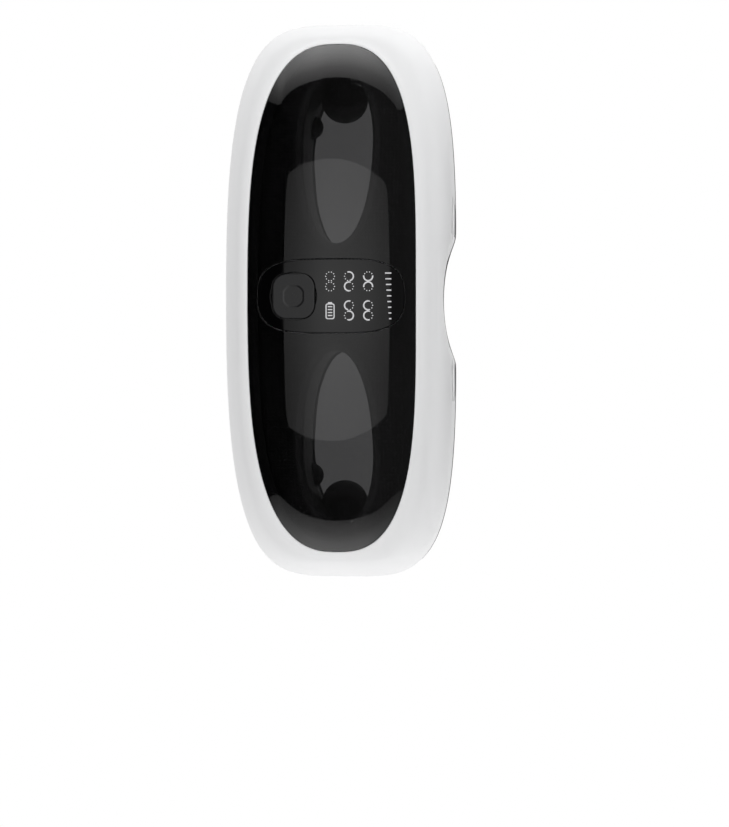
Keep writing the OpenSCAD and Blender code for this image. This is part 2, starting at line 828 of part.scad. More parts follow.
module heating_film_right() {
    color([0.8, 0.5, 0.2])
        lifted()
            mirror([1, 0, 0])
                film();
}

// Temple massage head: a dome, a dished back and a stem in the guide
module temple_head() {
    at_temple()
        difference() {
            union() {
                rotate_extrude($fn = 64)
                    intersection() {
                        circle(r = temple_r, $fn = 96);
                        translate([0, -1.4])
                            square([temple_r + 1, temple_r + 2]);
                    }
                translate([0, 0, -12.6])
                    cylinder(r = temple_stem_r, h = 13);
            }
            translate([0, 0, -1.9])
                rotate_extrude()
                    translate([temple_stem_r + 0.6, 0])
                        square([temple_r - temple_stem_r - 2.6, 1.3]);
        }
}

module temple_head_left() {
    color([0.13, 0.13, 0.14])
        lifted()
            temple_head();
}

module temple_head_right() {
    color([0.13, 0.13, 0.14])
        lifted()
            mirror([1, 0, 0])
                temple_head();
}

// Brow massage head: a small dome on a stem
module brow_head() {
    at_brow() {
        rotate_extrude($fn = 64)
            intersection() {
                circle(r = brow_r, $fn = 96);
                translate([0, -1.2])
                    square([brow_r + 1, brow_r + 2]);
            }
        translate([0, 0, -8])
            cylinder(r = brow_stem_r, h = 8.4);
    }
}

module brow_head_left() {
    color([0.13, 0.13, 0.14])
        lifted()
            brow_head();
}

module brow_head_right() {
    color([0.13, 0.13, 0.14])
        lifted()
            mirror([1, 0, 0])
                brow_head();
}

// Two cylindrical cells under the tunnels
module battery_cells() {
    color([0.2, 0.45, 0.7])
        lifted()
            both_sides() {
                along_x(cell_in, cell_in + cell_len, cell_y, cell_z, cell_r);
                along_x(cell_in + cell_len - 0.1, cell_in + cell_len + 1, cell_y, cell_z, 2.4);
            }
}

// Air pump: motor can on two saddles and the diaphragm head with its outlet
module pump_motor() {
    x = pump_x + pump_head_len;
    color([0.7, 0.71, 0.72])
        lifted() {
            along_x(x, x + pump_motor_len, pump_y, pump_z, pump_r);
            along_x(x + pump_motor_len - 0.1, x + pump_motor_len + 1.6, pump_y, pump_z, 2.6);
        }
}

module pump_head() {
    color([0.3, 0.3, 0.32])
        lifted()
            difference() {
                union() {
                    block([pump_x, pump_y - 7.4, pump_z - 7.4],
                        [pump_x + pump_head_len - 0.02, pump_y + 7.4, pump_z + 7.4]);
                    along_x(pump_x - 6, pump_x + 0.1, pump_y, pump_z, 1.6);
                }
                along_x(pump_x - 7, pump_x + 2, pump_y, pump_z, 0.8);
            }
}

// Solenoid valve that lets the bladders down
module air_valve() {
    color([0.8, 0.8, 0.82])
        lifted()
            difference() {
                union() {
                    block([valve_x - valve_w, valve_y1, valve_z - valve_h],
                        [valve_x + valve_w, valve_y2, valve_z + valve_h]);
                    along_x(valve_x + valve_w - 0.1, valve_x + valve_w + 5, pump_y, pump_z, 1.6);
                }
                along_x(valve_x + valve_w - 2, valve_x + valve_w + 6, pump_y, pump_z, 0.8);
            }
}

// Air tube from the pump to the valve, with a branch down and back to each bladder
tube_r = 2.3;
branch_x = eye_x - eye_inner - 5.2;
branch_r = 1.9;
branch_bore = 1.1;
module air_tubes() {
    x1 = valve_x + valve_w + 0.3;
    x2 = pump_x - 0.3;
    branch_back = flange_back_y + wrap(branch_x) + 0.1;
    color([0.85, 0.86, 0.85])
        lifted()
            difference() {
                union() {
                    along_x(x1, x2, pump_y, pump_z, tube_r);
                    for (x = [-branch_x + 5, branch_x - 5]) {
                        translate([x, pump_y, eye_z])
                            cylinder(r = branch_r, h = pump_z - eye_z);
                        translate([x, pump_y, eye_z])
                            sphere(r = branch_r);
                    }
                    along_x(-branch_x, -branch_x + 5, pump_y, eye_z, branch_r);
                    along_x(branch_x - 5, branch_x, pump_y, eye_z, branch_r);
                    for (x = [-branch_x, branch_x]) {
                        translate([x, pump_y, eye_z])
                            sphere(r = branch_r);
                        along_y(x, eye_z, branch_r, pump_y, branch_back);
                    }
                }
                along_x(x1 - 1, x2 + 1, pump_y, pump_z, 1.64);
                for (x = [-branch_x, branch_x])
                    along_y(x, eye_z, branch_bore, pump_y, branch_back + 1);
            }
}

// Vibration motors at the temples
module vibration_motor() {
    difference() {
        union() {
            along_x(motor_x, motor_x + motor_len, motor_y, motor_z, motor_r);
            along_x(motor_x + motor_len - 0.1, motor_x + motor_len + 0.5, motor_y, motor_z, 1.6);
        }
        along_x(motor_x + motor_len - 4, motor_x + motor_len + 2, motor_y, motor_z,
            0.5 + stem_gap);
    }
}

module vibration_motor_left() {
    color([0.72, 0.72, 0.74])
        lifted()
            vibration_motor();
}

module vibration_motor_right() {
    color([0.72, 0.72, 0.74])
        lifted()
            mirror([1, 0, 0])
                vibration_motor();
}

// Half-round eccentric weight on the motor's shaft
module eccentric() {
    x = motor_x + motor_len + 0.9;
    difference() {
        union() {
            along_x(x - 4, x + 3.4, motor_y, motor_z, 0.5);
            along_x(x, x + 3, motor_y, motor_z, 1.4);
            intersection() {
                along_x(x, x + 3, motor_y, motor_z, weight_r);
                block([x - 1, motor_y - 6, motor_z - 6], [x + 4, motor_y + 6, motor_z]);
            }
        }
    }
}

module eccentric_left() {
    color([0.6, 0.55, 0.4])
        lifted()
            eccentric();
}

module eccentric_right() {
    color([0.6, 0.55, 0.4])
        lifted()
            mirror([1, 0, 0])
                eccentric();
}

// Speaker at each temple, in its seat on the rear shell
module speaker() {
    difference() {
        union() {
            along_x(speaker_x, speaker_x + 2.6, speaker_y, speaker_z, speaker_r);
            along_x(speaker_x - 1.6, speaker_x + 0.1, speaker_y, speaker_z, speaker_r - 2.2);
        }
        along_x(speaker_x + 2, speaker_x + 3, speaker_y, speaker_z, speaker_r - 1.2);
    }
}

module speaker_left() {
    color([0.25, 0.25, 0.26])
        lifted()
            speaker();
}

module speaker_right() {
    color([0.25, 0.25, 0.26])
        lifted()
            mirror([1, 0, 0])
                speaker();
}

// Small charging board on two posts
module charge_board() {
    color([0.08, 0.35, 0.18])
        lifted()
            difference() {
                block([socket_x - 9, board2_y, half_ht - 18.2],
                    [socket_x + 9, board2_y + 1, half_ht - 5.2]);
                for (dx = [-post2_x, post2_x])
                    along_y(socket_x + dx, post2_z, 0.9, board2_y - 1, board2_y + 2);
            }
}

// Charging socket: a rounded metal sleeve with its tongue
module charge_socket() {
    top = half_ht - 1.9;
    color([0.78, 0.79, 0.8])
        lifted()
            translate([socket_x, socket_y, 0]) {
                difference() {
                    translate([0, 0, top - 7.4])
                        linear_extrude(7.4)
                            rounded(socket_wide - 0.04, socket_deep - 0.04,
                                socket_deep / 2 - 0.03);
                    translate([0, 0, top - 6.4])
                        linear_extrude(8)
                            rounded(socket_wide - 0.64, socket_deep - 0.64,
                                socket_deep / 2 - 0.33);
                }
                translate([-3.3, -0.35, top - 6.6])
                    cube([6.6, 0.7, 5.6]);
            }
}

// Screws that hold the rear shell on the bosses
module shell_screws() {
    color([0.6, 0.6, 0.62])
        lifted()
            for (b = bosses)
                difference() {
                    union() {
                        along_y(b[0], b[1], screw_r, head_back(b) - screw_head_h - screw_len + 3,
                            head_back(b) - 0.2);
                        along_y(b[0], b[1], screw_head_r, head_back(b) - screw_head_h + 0.02,
                            head_back(b));
                    }
                    along_y(b[0], b[1], 0.8, head_back(b) - 0.6, head_back(b) + 1);
                }
}

// Screws that hold both circuit boards
module board_screws() {
    color([0.6, 0.6, 0.62])
        lifted() {
            for (p = board_posts) {
                along_y(p[0], p[1], 0.75, board_front_y - 1.6, board_front_y + board_thick + 0.1);
                along_y(p[0], p[1], 1.6, board_front_y + board_thick + 0.02,
                    board_front_y + board_thick + 0.9);
            }
            for (dx = [-post2_x, post2_x]) {
                along_y(socket_x + dx, post2_z, 0.75, board2_y - 0.1, board2_y + 4);
                along_y(socket_x + dx, post2_z, 1.5, board2_y - 0.8, board2_y - 0.02);
            }
        }
}

// Steel pin across the lugs at each end, for a head strap
module strap_pin() {
    translate([lug_x, lug_y, 0])
        cylinder(r = pin_r, h = 2 * lug_z - 1.4, center = true);
}

module strap_pin_left() {
    color([0.7, 0.7, 0.72])
        lifted()
            strap_pin();
}

module strap_pin_right() {
    color([0.7, 0.7, 0.72])
        lifted()
            mirror([1, 0, 0])
                strap_pin();
}

front_shell();
window_lens();
window_gasket();
control_panel();
power_button();
led_mask();
led_lamps();
tact_switch();
main_board();
main_chips();
inner_frame();
rear_shell();
face_cushion();
eye_sleeve_left();
eye_sleeve_right();
air_bladder_left();
air_bladder_right();
heating_film_left();
heating_film_right();
temple_head_left();
temple_head_right();
brow_head_left();
brow_head_right();
battery_cells();
pump_motor();
pump_head();
air_valve();
air_tubes();
vibration_motor_left();
vibration_motor_right();
eccentric_left();
eccentric_right();
speaker_left();
speaker_right();
charge_board();
charge_socket();
shell_screws();
board_screws();
strap_pin_left();
strap_pin_right();
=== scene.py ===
import json
import math
import bpy
import bmesh
import numpy as np
from mathutils import Matrix, Vector
from mathutils.bvhtree import BVHTree

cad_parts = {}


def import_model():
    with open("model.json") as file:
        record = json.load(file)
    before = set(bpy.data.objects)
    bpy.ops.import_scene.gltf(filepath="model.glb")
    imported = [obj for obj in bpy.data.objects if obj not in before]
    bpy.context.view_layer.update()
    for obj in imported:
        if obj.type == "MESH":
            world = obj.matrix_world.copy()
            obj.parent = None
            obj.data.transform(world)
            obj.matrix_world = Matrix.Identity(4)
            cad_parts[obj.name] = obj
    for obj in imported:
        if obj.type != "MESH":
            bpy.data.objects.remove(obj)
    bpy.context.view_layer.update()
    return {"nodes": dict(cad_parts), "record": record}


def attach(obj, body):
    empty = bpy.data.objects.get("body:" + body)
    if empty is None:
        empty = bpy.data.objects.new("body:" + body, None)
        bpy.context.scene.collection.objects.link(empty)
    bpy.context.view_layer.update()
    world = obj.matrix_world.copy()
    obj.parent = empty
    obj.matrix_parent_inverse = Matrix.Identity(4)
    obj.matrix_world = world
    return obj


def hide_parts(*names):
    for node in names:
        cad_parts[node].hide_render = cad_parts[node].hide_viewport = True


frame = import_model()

# Sizes of the solids in millimetres, measured from the middle of the body. An outline is given
# by its half length, its half height and the powers at its ends and at its sides.
LIFT = 36.841
FRONT_Y, RIM_DEPTH, RIM_WALL = -31.0, 25.0, 2.2
OPENING = (82.6, 27.4, 2.72, 3.2)
OUTSIDE = (92.0, 37.2, 4.1, 3.46)
END_SWEEP = 17.0
NOTCH, NOTCH_HALF, NOTCH_FRONT, NOTCH_LENGTH = 5.2, 41.0, -25.4, 31.4
WINDOW = (82.1, 26.9, 2.72, 3.2)
WINDOW_BULGE, WINDOW_THICK = 3.0, 1.8
PANEL = (11.6, 23.25, 3.6, 3.0)
PANEL_THICK = 1.7
WELL_LENGTH, WELL_HEIGHT = 18.8, 41.7
EYE_X, EYE_IN, EYE_OUT, EYE_HALF, EYE_Z = 50.0, 32.8, 23.8, 11.2, -1.1
EYE_WALL = 1.4
JOINT_Y, SLEEVE_BACK, FLANGE = -14.0, 7.5, 9.0
FRAME_Y, FRAME_THICK = -27.1, 1.6
FRAME = (WINDOW[0] - 0.9, WINDOW[1] - 0.9, *WINDOW[2:])
BUTTON_LENGTH, BUTTON_HEIGHT, BUTTON_Z = 14.3, 13.8, 11.8
TEMPLE = Vector((67.6, 10, 0.4))
TEMPLE_TILT = math.radians(48)
# HOLLOW_SHADE_BANDS counts the bands of the temple head's stem and dish that are painted darker as
# shade
TEMPLE_R, TEMPLE_SIDES, HOLLOW_SHADE_BANDS = 7.8, 96, 8
BROW = Vector((58, 5, 11.0))
BROW_TILT = math.radians(60)
BROW_R = 4.0
PAD = (82.5, 36.3, 3.4, 3.1)
PAD_Y, PAD_DEPTH, PAD_BEND = FLANGE + 0.16, 10.6, 0.17

# Points round the body, the radius at a lathe's pole in millimetres, the pressure in the pad,
# the plane of the softboxes in metres, and the steps along one
BODY_POINTS = 320
AXIS = 0.0001
PRESSURE = 4.0
CARD_Y, CARD_STEPS = -1.0, 40
COLLECTION = bpy.context.scene.collection


# ---------------------------------------------------------------- shapes

def mix(a, b, t):
    return a + (b - a) * t


def wrap(x):
    """How far back a point lies, as both ends of the body sweep towards the temples."""
    return END_SWEEP * (x / OUTSIDE[0]) ** 2


def arch(x):
    c = np.cos(np.pi * np.minimum(np.abs(x), NOTCH_HALF) / NOTCH_HALF)
    return (c + np.sqrt(c * c + 0.008)) / 2


def deepening(y):
    return (max(0.0, y - NOTCH_FRONT) / NOTCH_LENGTH) ** 0.8


def circle(n):
    return np.arange(n) * 2 * np.pi / n


def turns(n):
    """Angles round a long outline, shifted so that its points lie more evenly."""
    a = circle(n)
    return a + math.radians(8.6) * np.sin(2 * a)


def spread(c, s, pe, ps):
    p = pe * c * c + ps * s * s
    return (np.abs(c) ** p + np.abs(s) ** p) ** (-1 / p)


def outline(a, l, h, pe, ps):
    c, s = np.cos(a), np.sin(a)
    r = spread(c, s, pe, ps)
    return l * r * c, h * r * s


def share(x, z, l, h, pe, ps):
    """How far a point lies out towards an outline; 1 is on it."""
    u, v = x / l, z / h
    m = np.maximum(np.hypot(u, v), 1e-9)
    return m / spread(u / m, v / m, pe, ps)


def body_ring(f, inset, y):
    """A ring round the body; f runs from 0 at the window's opening to 1 at the outside."""
    l, h, pe, ps = (mix(a, b, f) for a, b in zip(OPENING, OUTSIDE))
    x, z = outline(turns(BODY_POINTS), l - inset, h - inset, pe, ps)
    z = z + np.where(z < 0, NOTCH * deepening(y) * arch(x), 0.0)
    return np.column_stack([x, y + wrap(x), z])


def rim_ring(degrees, inset=0.0, back=0.0):
    """A ring on the rounded rim: 0 degrees at the window's opening, 90 at the outside."""
    t = math.radians(degrees)
    return body_ring(math.sin(t), inset, FRONT_Y + RIM_DEPTH * (1 - math.cos(t)) + back)


def window_y(x, z):
    return FRONT_Y + wrap(x) + WINDOW_BULGE * (share(x, z, *WINDOW) ** 2 - 1)


def frame_plate_y(x, z):
    rho = share(x, z, *FRAME)
    return FRAME_Y + wrap(x) + np.minimum(0.0, WINDOW_BULGE * (rho ** 2 - 1) + 0.57)


def flare(y):
    return 1.7 * max(0.0, y - JOINT_Y) / (FLANGE - JOINT_Y)


def eye_ring(g, y, n=160, side=1.0):
    """A leaf round the left eye, g mm larger; side is the share of g at its temple end."""
    a = circle(n)
    c, s = np.cos(a), np.sin(a)
    full = np.where(c > 0, 1.0, 0.94)
    reach = np.where(c > 0, EYE_OUT + side * g + (1 - side) * 1.2, EYE_IN + g)
    x = EYE_X + reach * (np.sign(c) * np.abs(c) ** full)
    z = EYE_Z + (EYE_HALF + g) * np.sign(s) * np.abs(s) ** full
    return np.column_stack([x, y + wrap(x), z])


def rounded_square(w, h, r, n):
    pts = []
    for cx, cz, start in ((w / 2 - r, h / 2 - r, 0), (r - w / 2, h / 2 - r, 90),
                          (r - w / 2, r - h / 2, 180), (w / 2 - r, r - h / 2, 270)):
        for k in range(n + 1):
            t = math.radians(start + 90 * k / n)
            pts.append((cx + r * math.cos(t), cz + r * math.sin(t)))
    return np.array(pts)


def rod(r, z1, z2):
    """Profile of a closed cylinder."""
    return [(AXIS, z1), (r, z1), (r, z2), (AXIS, z2)]


def dome(r, start, steps):
    """Profile of a round head, from start degrees up to its pole."""
    angles = [math.radians(start + (90 - start) * k / steps) for k in range(steps + 1)]
    return [(max(AXIS, r * math.cos(t)), r * math.sin(t)) for t in angles]


# ---------------------------------------------------------------- mesh helpers

def place(points):
    """From millimetres about the body's middle to metres above the floor."""
    p = np.asarray(points, float).copy()
    p[:, 2] += LIFT
    return p * 0.001


def unplaced(points):
    return np.asarray(points, float) * 1000 - np.array([0, 0, LIFT])


def millimetres(mesh):
    p = np.empty(len(mesh.vertices) * 3)
    mesh.vertices.foreach_get("co", p)
    return unplaced(p.reshape(-1, 3))


class Build:
    """Gathers surfaces in millimetres and turns them into one object."""

    def __init__(self):
        self.points, self.faces = [], []

    def add(self, points, faces):
        base = len(self.points)
        self.points.extend(map(tuple, points))
        self.faces.extend([tuple(base + i for i in f) for f in faces])
        return self

    def rings(self, rings, closed=False, front=None, back=None):
        """Joins rings in turn; front and back are the middles of the caps, where there are any."""
        n = len(rings[0])
        m = len(rings)
        pts = np.vstack(rings)
        faces = []
        for k in range(m if closed else m - 1):
            a, b = k * n, ((k + 1) % m) * n
            for i in range(n):
                j = (i + 1) % n
                faces.append((a + i, a + j, b + j, b + i))
        extra = []
        for centre, row, turn in ((front, 0, 1), (back, (m - 1) * n, -1)):
            if centre is None:
                continue
            extra.append(centre)
            c = m * n + len(extra) - 1
            for i in range(n):
                j = (i + 1) % n
                faces.append((c, row + j, row + i) if turn > 0 else (c, row + i, row + j))
        if extra:
            pts = np.vstack([pts, extra])
        return self.add(pts, faces)

    def lathe(self, profile, place_at, n=64):
        """profile is [(radius, height)], turned about place_at's Z axis."""
        return self.rings([np.array([place_at @ Vector((r * math.cos(t), r * math.sin(t), h))
                                     for t in circle(n)]) for r, h in profile])

    def make(self, name, mirror=False, angle=40):
        pts = np.array(self.points)
        if mirror:
            pts = pts * np.array([-1, 1, 1])
        mesh = bpy.data.meshes.new(name)
        mesh.from_pydata(place(pts).tolist(), [], self.faces)
        bm = bmesh.new()
        bm.from_mesh(mesh)
        bmesh.ops.remove_doubles(bm, verts=bm.verts, dist=1e-7)
        bmesh.ops.recalc_face_normals(bm, faces=bm.faces)
        return from_bmesh(bm, name, mesh, angle)


def from_bmesh(bm, name, mesh, angle):
    bm.to_mesh(mesh)
    bm.free()
    obj = bpy.data.objects.new(name, mesh)
    COLLECTION.objects.link(obj)
    smooth(obj, angle)
    return obj


def smooth(obj, angle):
    obj.data.shade_smooth()
    obj.data.set_sharp_from_angle(angle=math.radians(angle))


def baked(obj, angle=40):
    """Applies the modifiers."""
    graph = bpy.context.evaluated_depsgraph_get()
    mesh = bpy.data.meshes.new_from_object(obj.evaluated_get(graph))
    obj.modifiers.clear()
    obj.data = mesh
    smooth(obj, angle)


def cut(obj, tools, angle=40):
    for tool in tools:
        m = obj.modifiers.new("cut", "BOOLEAN")
        m.operation = "DIFFERENCE"
        m.solver = "EXACT"
        m.object = tool
    baked(obj, angle)
    for tool in tools:
        bpy.data.objects.remove(tool)


# ---------------------------------------------------------------- materials

class Tree:
    """The nodes of a material or a world, with short calls to make and join them."""

    def __init__(self, owner, emptied=False):
        owner.use_nodes = True
        self.nodes, self.links = owner.node_tree.nodes, owner.node_tree.links
        if emptied:
            self.nodes.clear()

    def fill(self, node, values):
        """Sets inputs by name or number; a value that is another node's output is linked."""
        for key, value in values.items():
            if isinstance(value, bpy.types.NodeSocket):
                self.links.new(value, node.inputs[key])
            else:
                node.inputs[key].default_value = value

    def node(self, kind, values=None, **settings):
        made = self.nodes.new("ShaderNode" + kind)
        for key, value in settings.items():
            setattr(made, key, value)
        self.fill(made, values or {})
        return made

    def at(self, space="Object"):
        return self.node("TexCoord").outputs[space]

    def noise(self, at, scale, detail=2, out="Fac"):
        values = {"Vector": at, "Scale": scale, "Detail": detail}
        return self.node("TexNoise", values).outputs[out]

    def ranged(self, value, old=(0, 1), new=(0, 1), **settings):
        """Moves a value from one range to another."""
        values = {"Value": value, "From Min": old[0], "From Max": old[1],
                  "To Min": new[0], "To Max": new[1]}
        return self.node("MapRange", values, **settings).outputs["Result"]

    def maths(self, operation, *values):
        return self.node("Math", dict(enumerate(values)), operation=operation).outputs["Value"]

    def blend(self, factor, a, b):
        return self.node("Mix", {"Factor": factor, 2: a, 3: b}).outputs[0]

    def ramp(self, value, low, high, ends=(0, 1)):
        made = self.node("ValToRGB", {"Fac": value})
        for element, colour, position in zip(made.color_ramp.elements, (low, high), ends):
            element.position = position
            element.color = list(colour) + [1]
        return made.outputs["Color"]

    def bump(self, height, strength, distance):
        values = {"Height": height, "Strength": strength, "Distance": distance}
        return self.node("Bump", values).outputs["Normal"]

    def surface(self, shader):
        self.node("OutputMaterial", {"Surface": shader.outputs[0]})

    def mixed(self, factor, a, b):
        return self.node("MixShader", {"Fac": factor, 1: a.outputs[0], 2: b.outputs[0]})


def empty_material(name):
    m = bpy.data.materials.new(name)
    return m, Tree(m, emptied=True)


def new_material(name):
    m = bpy.data.materials.new(name)
    tree = Tree(m)
    return m, tree, tree.nodes["Principled BSDF"]


def moulded(name, colour, rough, metallic=0.0, vary=0.06, grain=1500, depth=0.02, coat=0.0,
            rough_vary=0.05, cloud=25):
    """Moulded plastic, rubber or metal: faint clouding, a fine grain and uneven gloss."""
    m, tree, shader = new_material(name)
    at = tree.at()
    fine = tree.noise(at, grain, 3)
    gloss = (max(0.02, rough - rough_vary), rough + rough_vary)
    tree.fill(shader, {
        "Base Color": tree.ramp(tree.noise(at, cloud, 4), [c * (1 - vary) for c in colour],
                                [min(1, c * (1 + vary)) for c in colour], (0.3, 0.7)),
        "Roughness": tree.ranged(fine, new=gloss),
        "Normal": tree.bump(fine, 0.5, depth * 0.001),
        "Metallic": metallic})
    if coat:
        tree.fill(shader, {"Coat Weight": coat, "Coat Roughness": 0.08})
    return m


def smoky_material():
    """See-through smoky plastic. Its outer face reflects, and light that falls on what is
    behind it passes almost undimmed."""
    m, tree = empty_material("smoky_window")
    gloss = tree.node("BsdfGlossy", {"Roughness": 0.015, "Color": (1, 1, 1, 1)})
    fresnel = tree.node("Fresnel", {"IOR": 1.5}).outputs["Fac"]
    inner_face = tree.node("NewGeometry").outputs["Backfacing"]
    amount = tree.maths("MULTIPLY", fresnel, tree.maths("SUBTRACT", 1, inner_face))
    path = tree.node("LightPath").outputs
    light = tree.maths("MAXIMUM", path["Is Shadow Ray"], path["Is Diffuse Ray"])
    smoke = tree.ramp(tree.noise(tree.at(), 9), (0.2165, 0.2165, 0.2185),
                      (0.2215, 0.2215, 0.2235))
    tint = tree.node("Mix", {"Factor": light, 6: smoke, 7: (0.97, 0.97, 0.97, 1)},
                     data_type="RGBA")
    clear = tree.node("BsdfTransparent", {"Color": tint.outputs[2]})
    tree.surface(tree.mixed(amount, clear, gloss))
    return m


def weave_material(name, colour, dot):
    """Dark plastic with a grid of small dimples, 1.2 mm apart; the dimples are coloured near black
    as painted shade.
    """
    m, tree, shader = new_material(name)
    split = tree.node("SeparateXYZ", {"Vector": tree.at()}).outputs
    waves = [tree.maths("COSINE", tree.maths("MULTIPLY", split[axis], 2 * math.pi / 0.0012))
             for axis in ("X", "Z")]
    dots = tree.ranged(tree.maths("ADD", *waves), (-0.2, 1.3), interpolation_type="SMOOTHSTEP")
    # dot is the near-black colour of the dimples: painted shade in them
    tree.fill(shader, {"Base Color": tree.ramp(dots, colour, dot),
                       "Normal": tree.bump(dots, 0.8, -0.00015), "Roughness": 0.5})
    return m


def leather_material(name, colour):
    """Leatherette: pebbled grain in small cells with fine creases."""
    m, tree, shader = new_material(name)
    at = tree.at()
    bent = tree.node("Mix", {"Factor": 0.0006, 4: at, 5: tree.noise(at, 300, 3, "Color")},
                     data_type="VECTOR").outputs[1]
    cells = tree.node("TexVoronoi", {"Vector": bent, "Scale": 900}, feature="DISTANCE_TO_EDGE")
    grain = tree.ranged(cells.outputs["Distance"], (0, 0.12), interpolation_type="SMOOTHSTEP")
    tree.fill(shader, {
        "Base Color": tree.ramp(tree.noise(at, 30), [c * 0.85 for c in colour],
                                [c * 1.2 for c in colour], (0.3, 0.7)),
        "Roughness": tree.ranged(grain, new=(0.62, 0.46)),
        "Normal": tree.bump(grain, 0.45, 0.00012),
        "Sheen Weight": 0.12})
    return m


def lit_material():
    """Light grey marks with a glow."""
    m, tree, shader = new_material("lit_marks")
    lit = tree.ramp(tree.noise(tree.at(), 700), (0.30, 0.30, 0.31), (0.42, 0.42, 0.43))
    tree.fill(shader, {"Base Color": lit, "Emission Color": lit, "Emission Strength": 0.8,
                       "Roughness": 0.4})
    return m


MATERIALS = {
    "white_shell": moulded("white_shell", (0.86, 0.862, 0.868), 0.34, vary=0.008, grain=2200,
                           depth=0.004, coat=0.12, rough_vary=0.03),
    "smoky_window": smoky_material(),
    "black_gloss": moulded("black_gloss", (0.0006, 0.0006, 0.0007), 0.05, vary=0.1, grain=900,
                           depth=0.0, rough_vary=0.01),
    "button_black": moulded("button_black", (0.011, 0.011, 0.0115), 0.07, vary=0.1, grain=900,
                            depth=0.0, rough_vary=0.01),
    # the second colour is painted shade in the frame's dimples
    "frame_black": weave_material("frame_black", (0.07, 0.07, 0.072), (0.001, 0.001, 0.001)),
    "black_matte": moulded("black_matte", (0.05, 0.05, 0.053), 0.5, vary=0.08, grain=2600,
                           depth=0.03, rough_vary=0.07),
    "tunnel_grey": moulded("tunnel_grey", (0.12, 0.12, 0.123), 0.42, vary=0.05, grain=2600,
                           depth=0.01),
    "head_rubber": moulded("head_rubber", (0.32, 0.32, 0.325), 0.55, vary=0.07, grain=2400,
                           depth=0.015),
    # a darker grey for the temple heads' stems and dishes: painted shade in the hollow
    "head_hollow_painted_shade": moulded("head_hollow_painted_shade", (0.12, 0.12, 0.123), 0.6, vary=0.07, grain=2400,
                           depth=0.015),
    "leatherette": leather_material("leatherette", (0.045, 0.045, 0.049)),
    "piping": moulded("piping", (0.03, 0.03, 0.033), 0.5, vary=0.1, grain=2000, depth=0.03),
    "stitch": moulded("stitch", (0.11, 0.11, 0.115), 0.7, vary=0.15, grain=4000, depth=0.03),
    "bladder_film": moulded("bladder_film", (0.55, 0.56, 0.58), 0.3, vary=0.05),
    "heater_film": moulded("heater_film", (0.55, 0.3, 0.08), 0.4, vary=0.12),
    "board_green": moulded("board_green", (0.02, 0.16, 0.07), 0.45, vary=0.2, cloud=300),
    "chip_black": moulded("chip_black", (0.03, 0.03, 0.03), 0.6, vary=0.12),
    "lamp": moulded("lamp", (0.9, 0.9, 0.82), 0.4, vary=0.03),
    "steel": moulded("steel", (0.55, 0.55, 0.57), 0.32, metallic=1.0, vary=0.06, grain=1800,
                     rough_vary=0.08),
    "brass": moulded("brass", (0.55, 0.42, 0.2), 0.4, metallic=1.0, vary=0.08),
    "cell_wrap": moulded("cell_wrap", (0.08, 0.22, 0.4), 0.3, vary=0.06),
    "tube": moulded("tube", (0.75, 0.76, 0.75), 0.4, vary=0.04),
    "grey_plastic": moulded("grey_plastic", (0.2, 0.2, 0.21), 0.5, vary=0.06),
    "lit_marks": lit_material(),
}


def finish_piece(obj, material, body, slot, *nodes):
    obj.data.materials.clear()
    obj.data.materials.append(MATERIALS[material])
    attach(obj, body)
    if nodes:
        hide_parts(*nodes)


# ---------------------------------------------------------------- camera, light, floor

def camera():
    """The photograph's camera, turned a quarter, so that its right is downwards."""
    pitch, yaw = math.radians(6.203), math.radians(-0.371)
    focal_px, long_side_px, sensor = 2280.3, 827, 36
    forward = Vector((math.sin(yaw) * math.cos(pitch), math.cos(yaw) * math.cos(pitch),
                      math.sin(pitch)))
    down = Vector((0, 0, -1))
    right = down - forward * down.dot(forward)
    right.normalize()
    up = (-forward).cross(right)
    place_at = Matrix((right, up, -forward)).transposed().to_4x4()
    place_at.translation = Vector((-0.03254, -0.750, LIFT * 0.001 - 0.08876))
    data = bpy.data.cameras.new("camera")
    data.sensor_fit = "AUTO"
    data.sensor_width = sensor
    data.lens = focal_px * sensor / long_side_px
    data.clip_start = 0.01
    obj = bpy.data.objects.new("camera", data)
    obj.matrix_world = place_at
    COLLECTION.objects.link(obj)
    bpy.context.scene.camera = obj


def world():
    """White to the camera. As a light it is dimmer, and so are its reflections in front."""
    w = bpy.data.worlds.new("studio")
    bpy.context.scene.world = w
    tree = Tree(w)
    path = tree.node("LightPath").outputs
    split = tree.node("SeparateXYZ", {"Vector": tree.at("Generated")}).outputs
    front = tree.ranged(split["Z"], (-0.04, 0.3), (0.125, 0.006))
    glossy = tree.blend(tree.ranged(split["Y"], (0.1, 0.3)), front, 1.0)
    light = tree.ranged(split["Z"], (0, 0.8), (0.585, 0.49))
    unseen = tree.blend(path["Is Glossy Ray"], light, glossy)
    seen = tree.maths("MAXIMUM", path["Is Camera Ray"], path["Is Transmission Ray"])
    tree.fill(tree.nodes["Background"], {"Color": (1, 1, 1, 1),
                                         "Strength": tree.blend(seen, unseen, 1.0)})


def stage_mesh(name, points, faces, material):
    mesh = bpy.data.meshes.new(name)
    mesh.from_pydata(points, [], faces)
    obj = bpy.data.objects.new(name, mesh)
    COLLECTION.objects.link(obj)
    mesh.materials.append(material)
    return obj


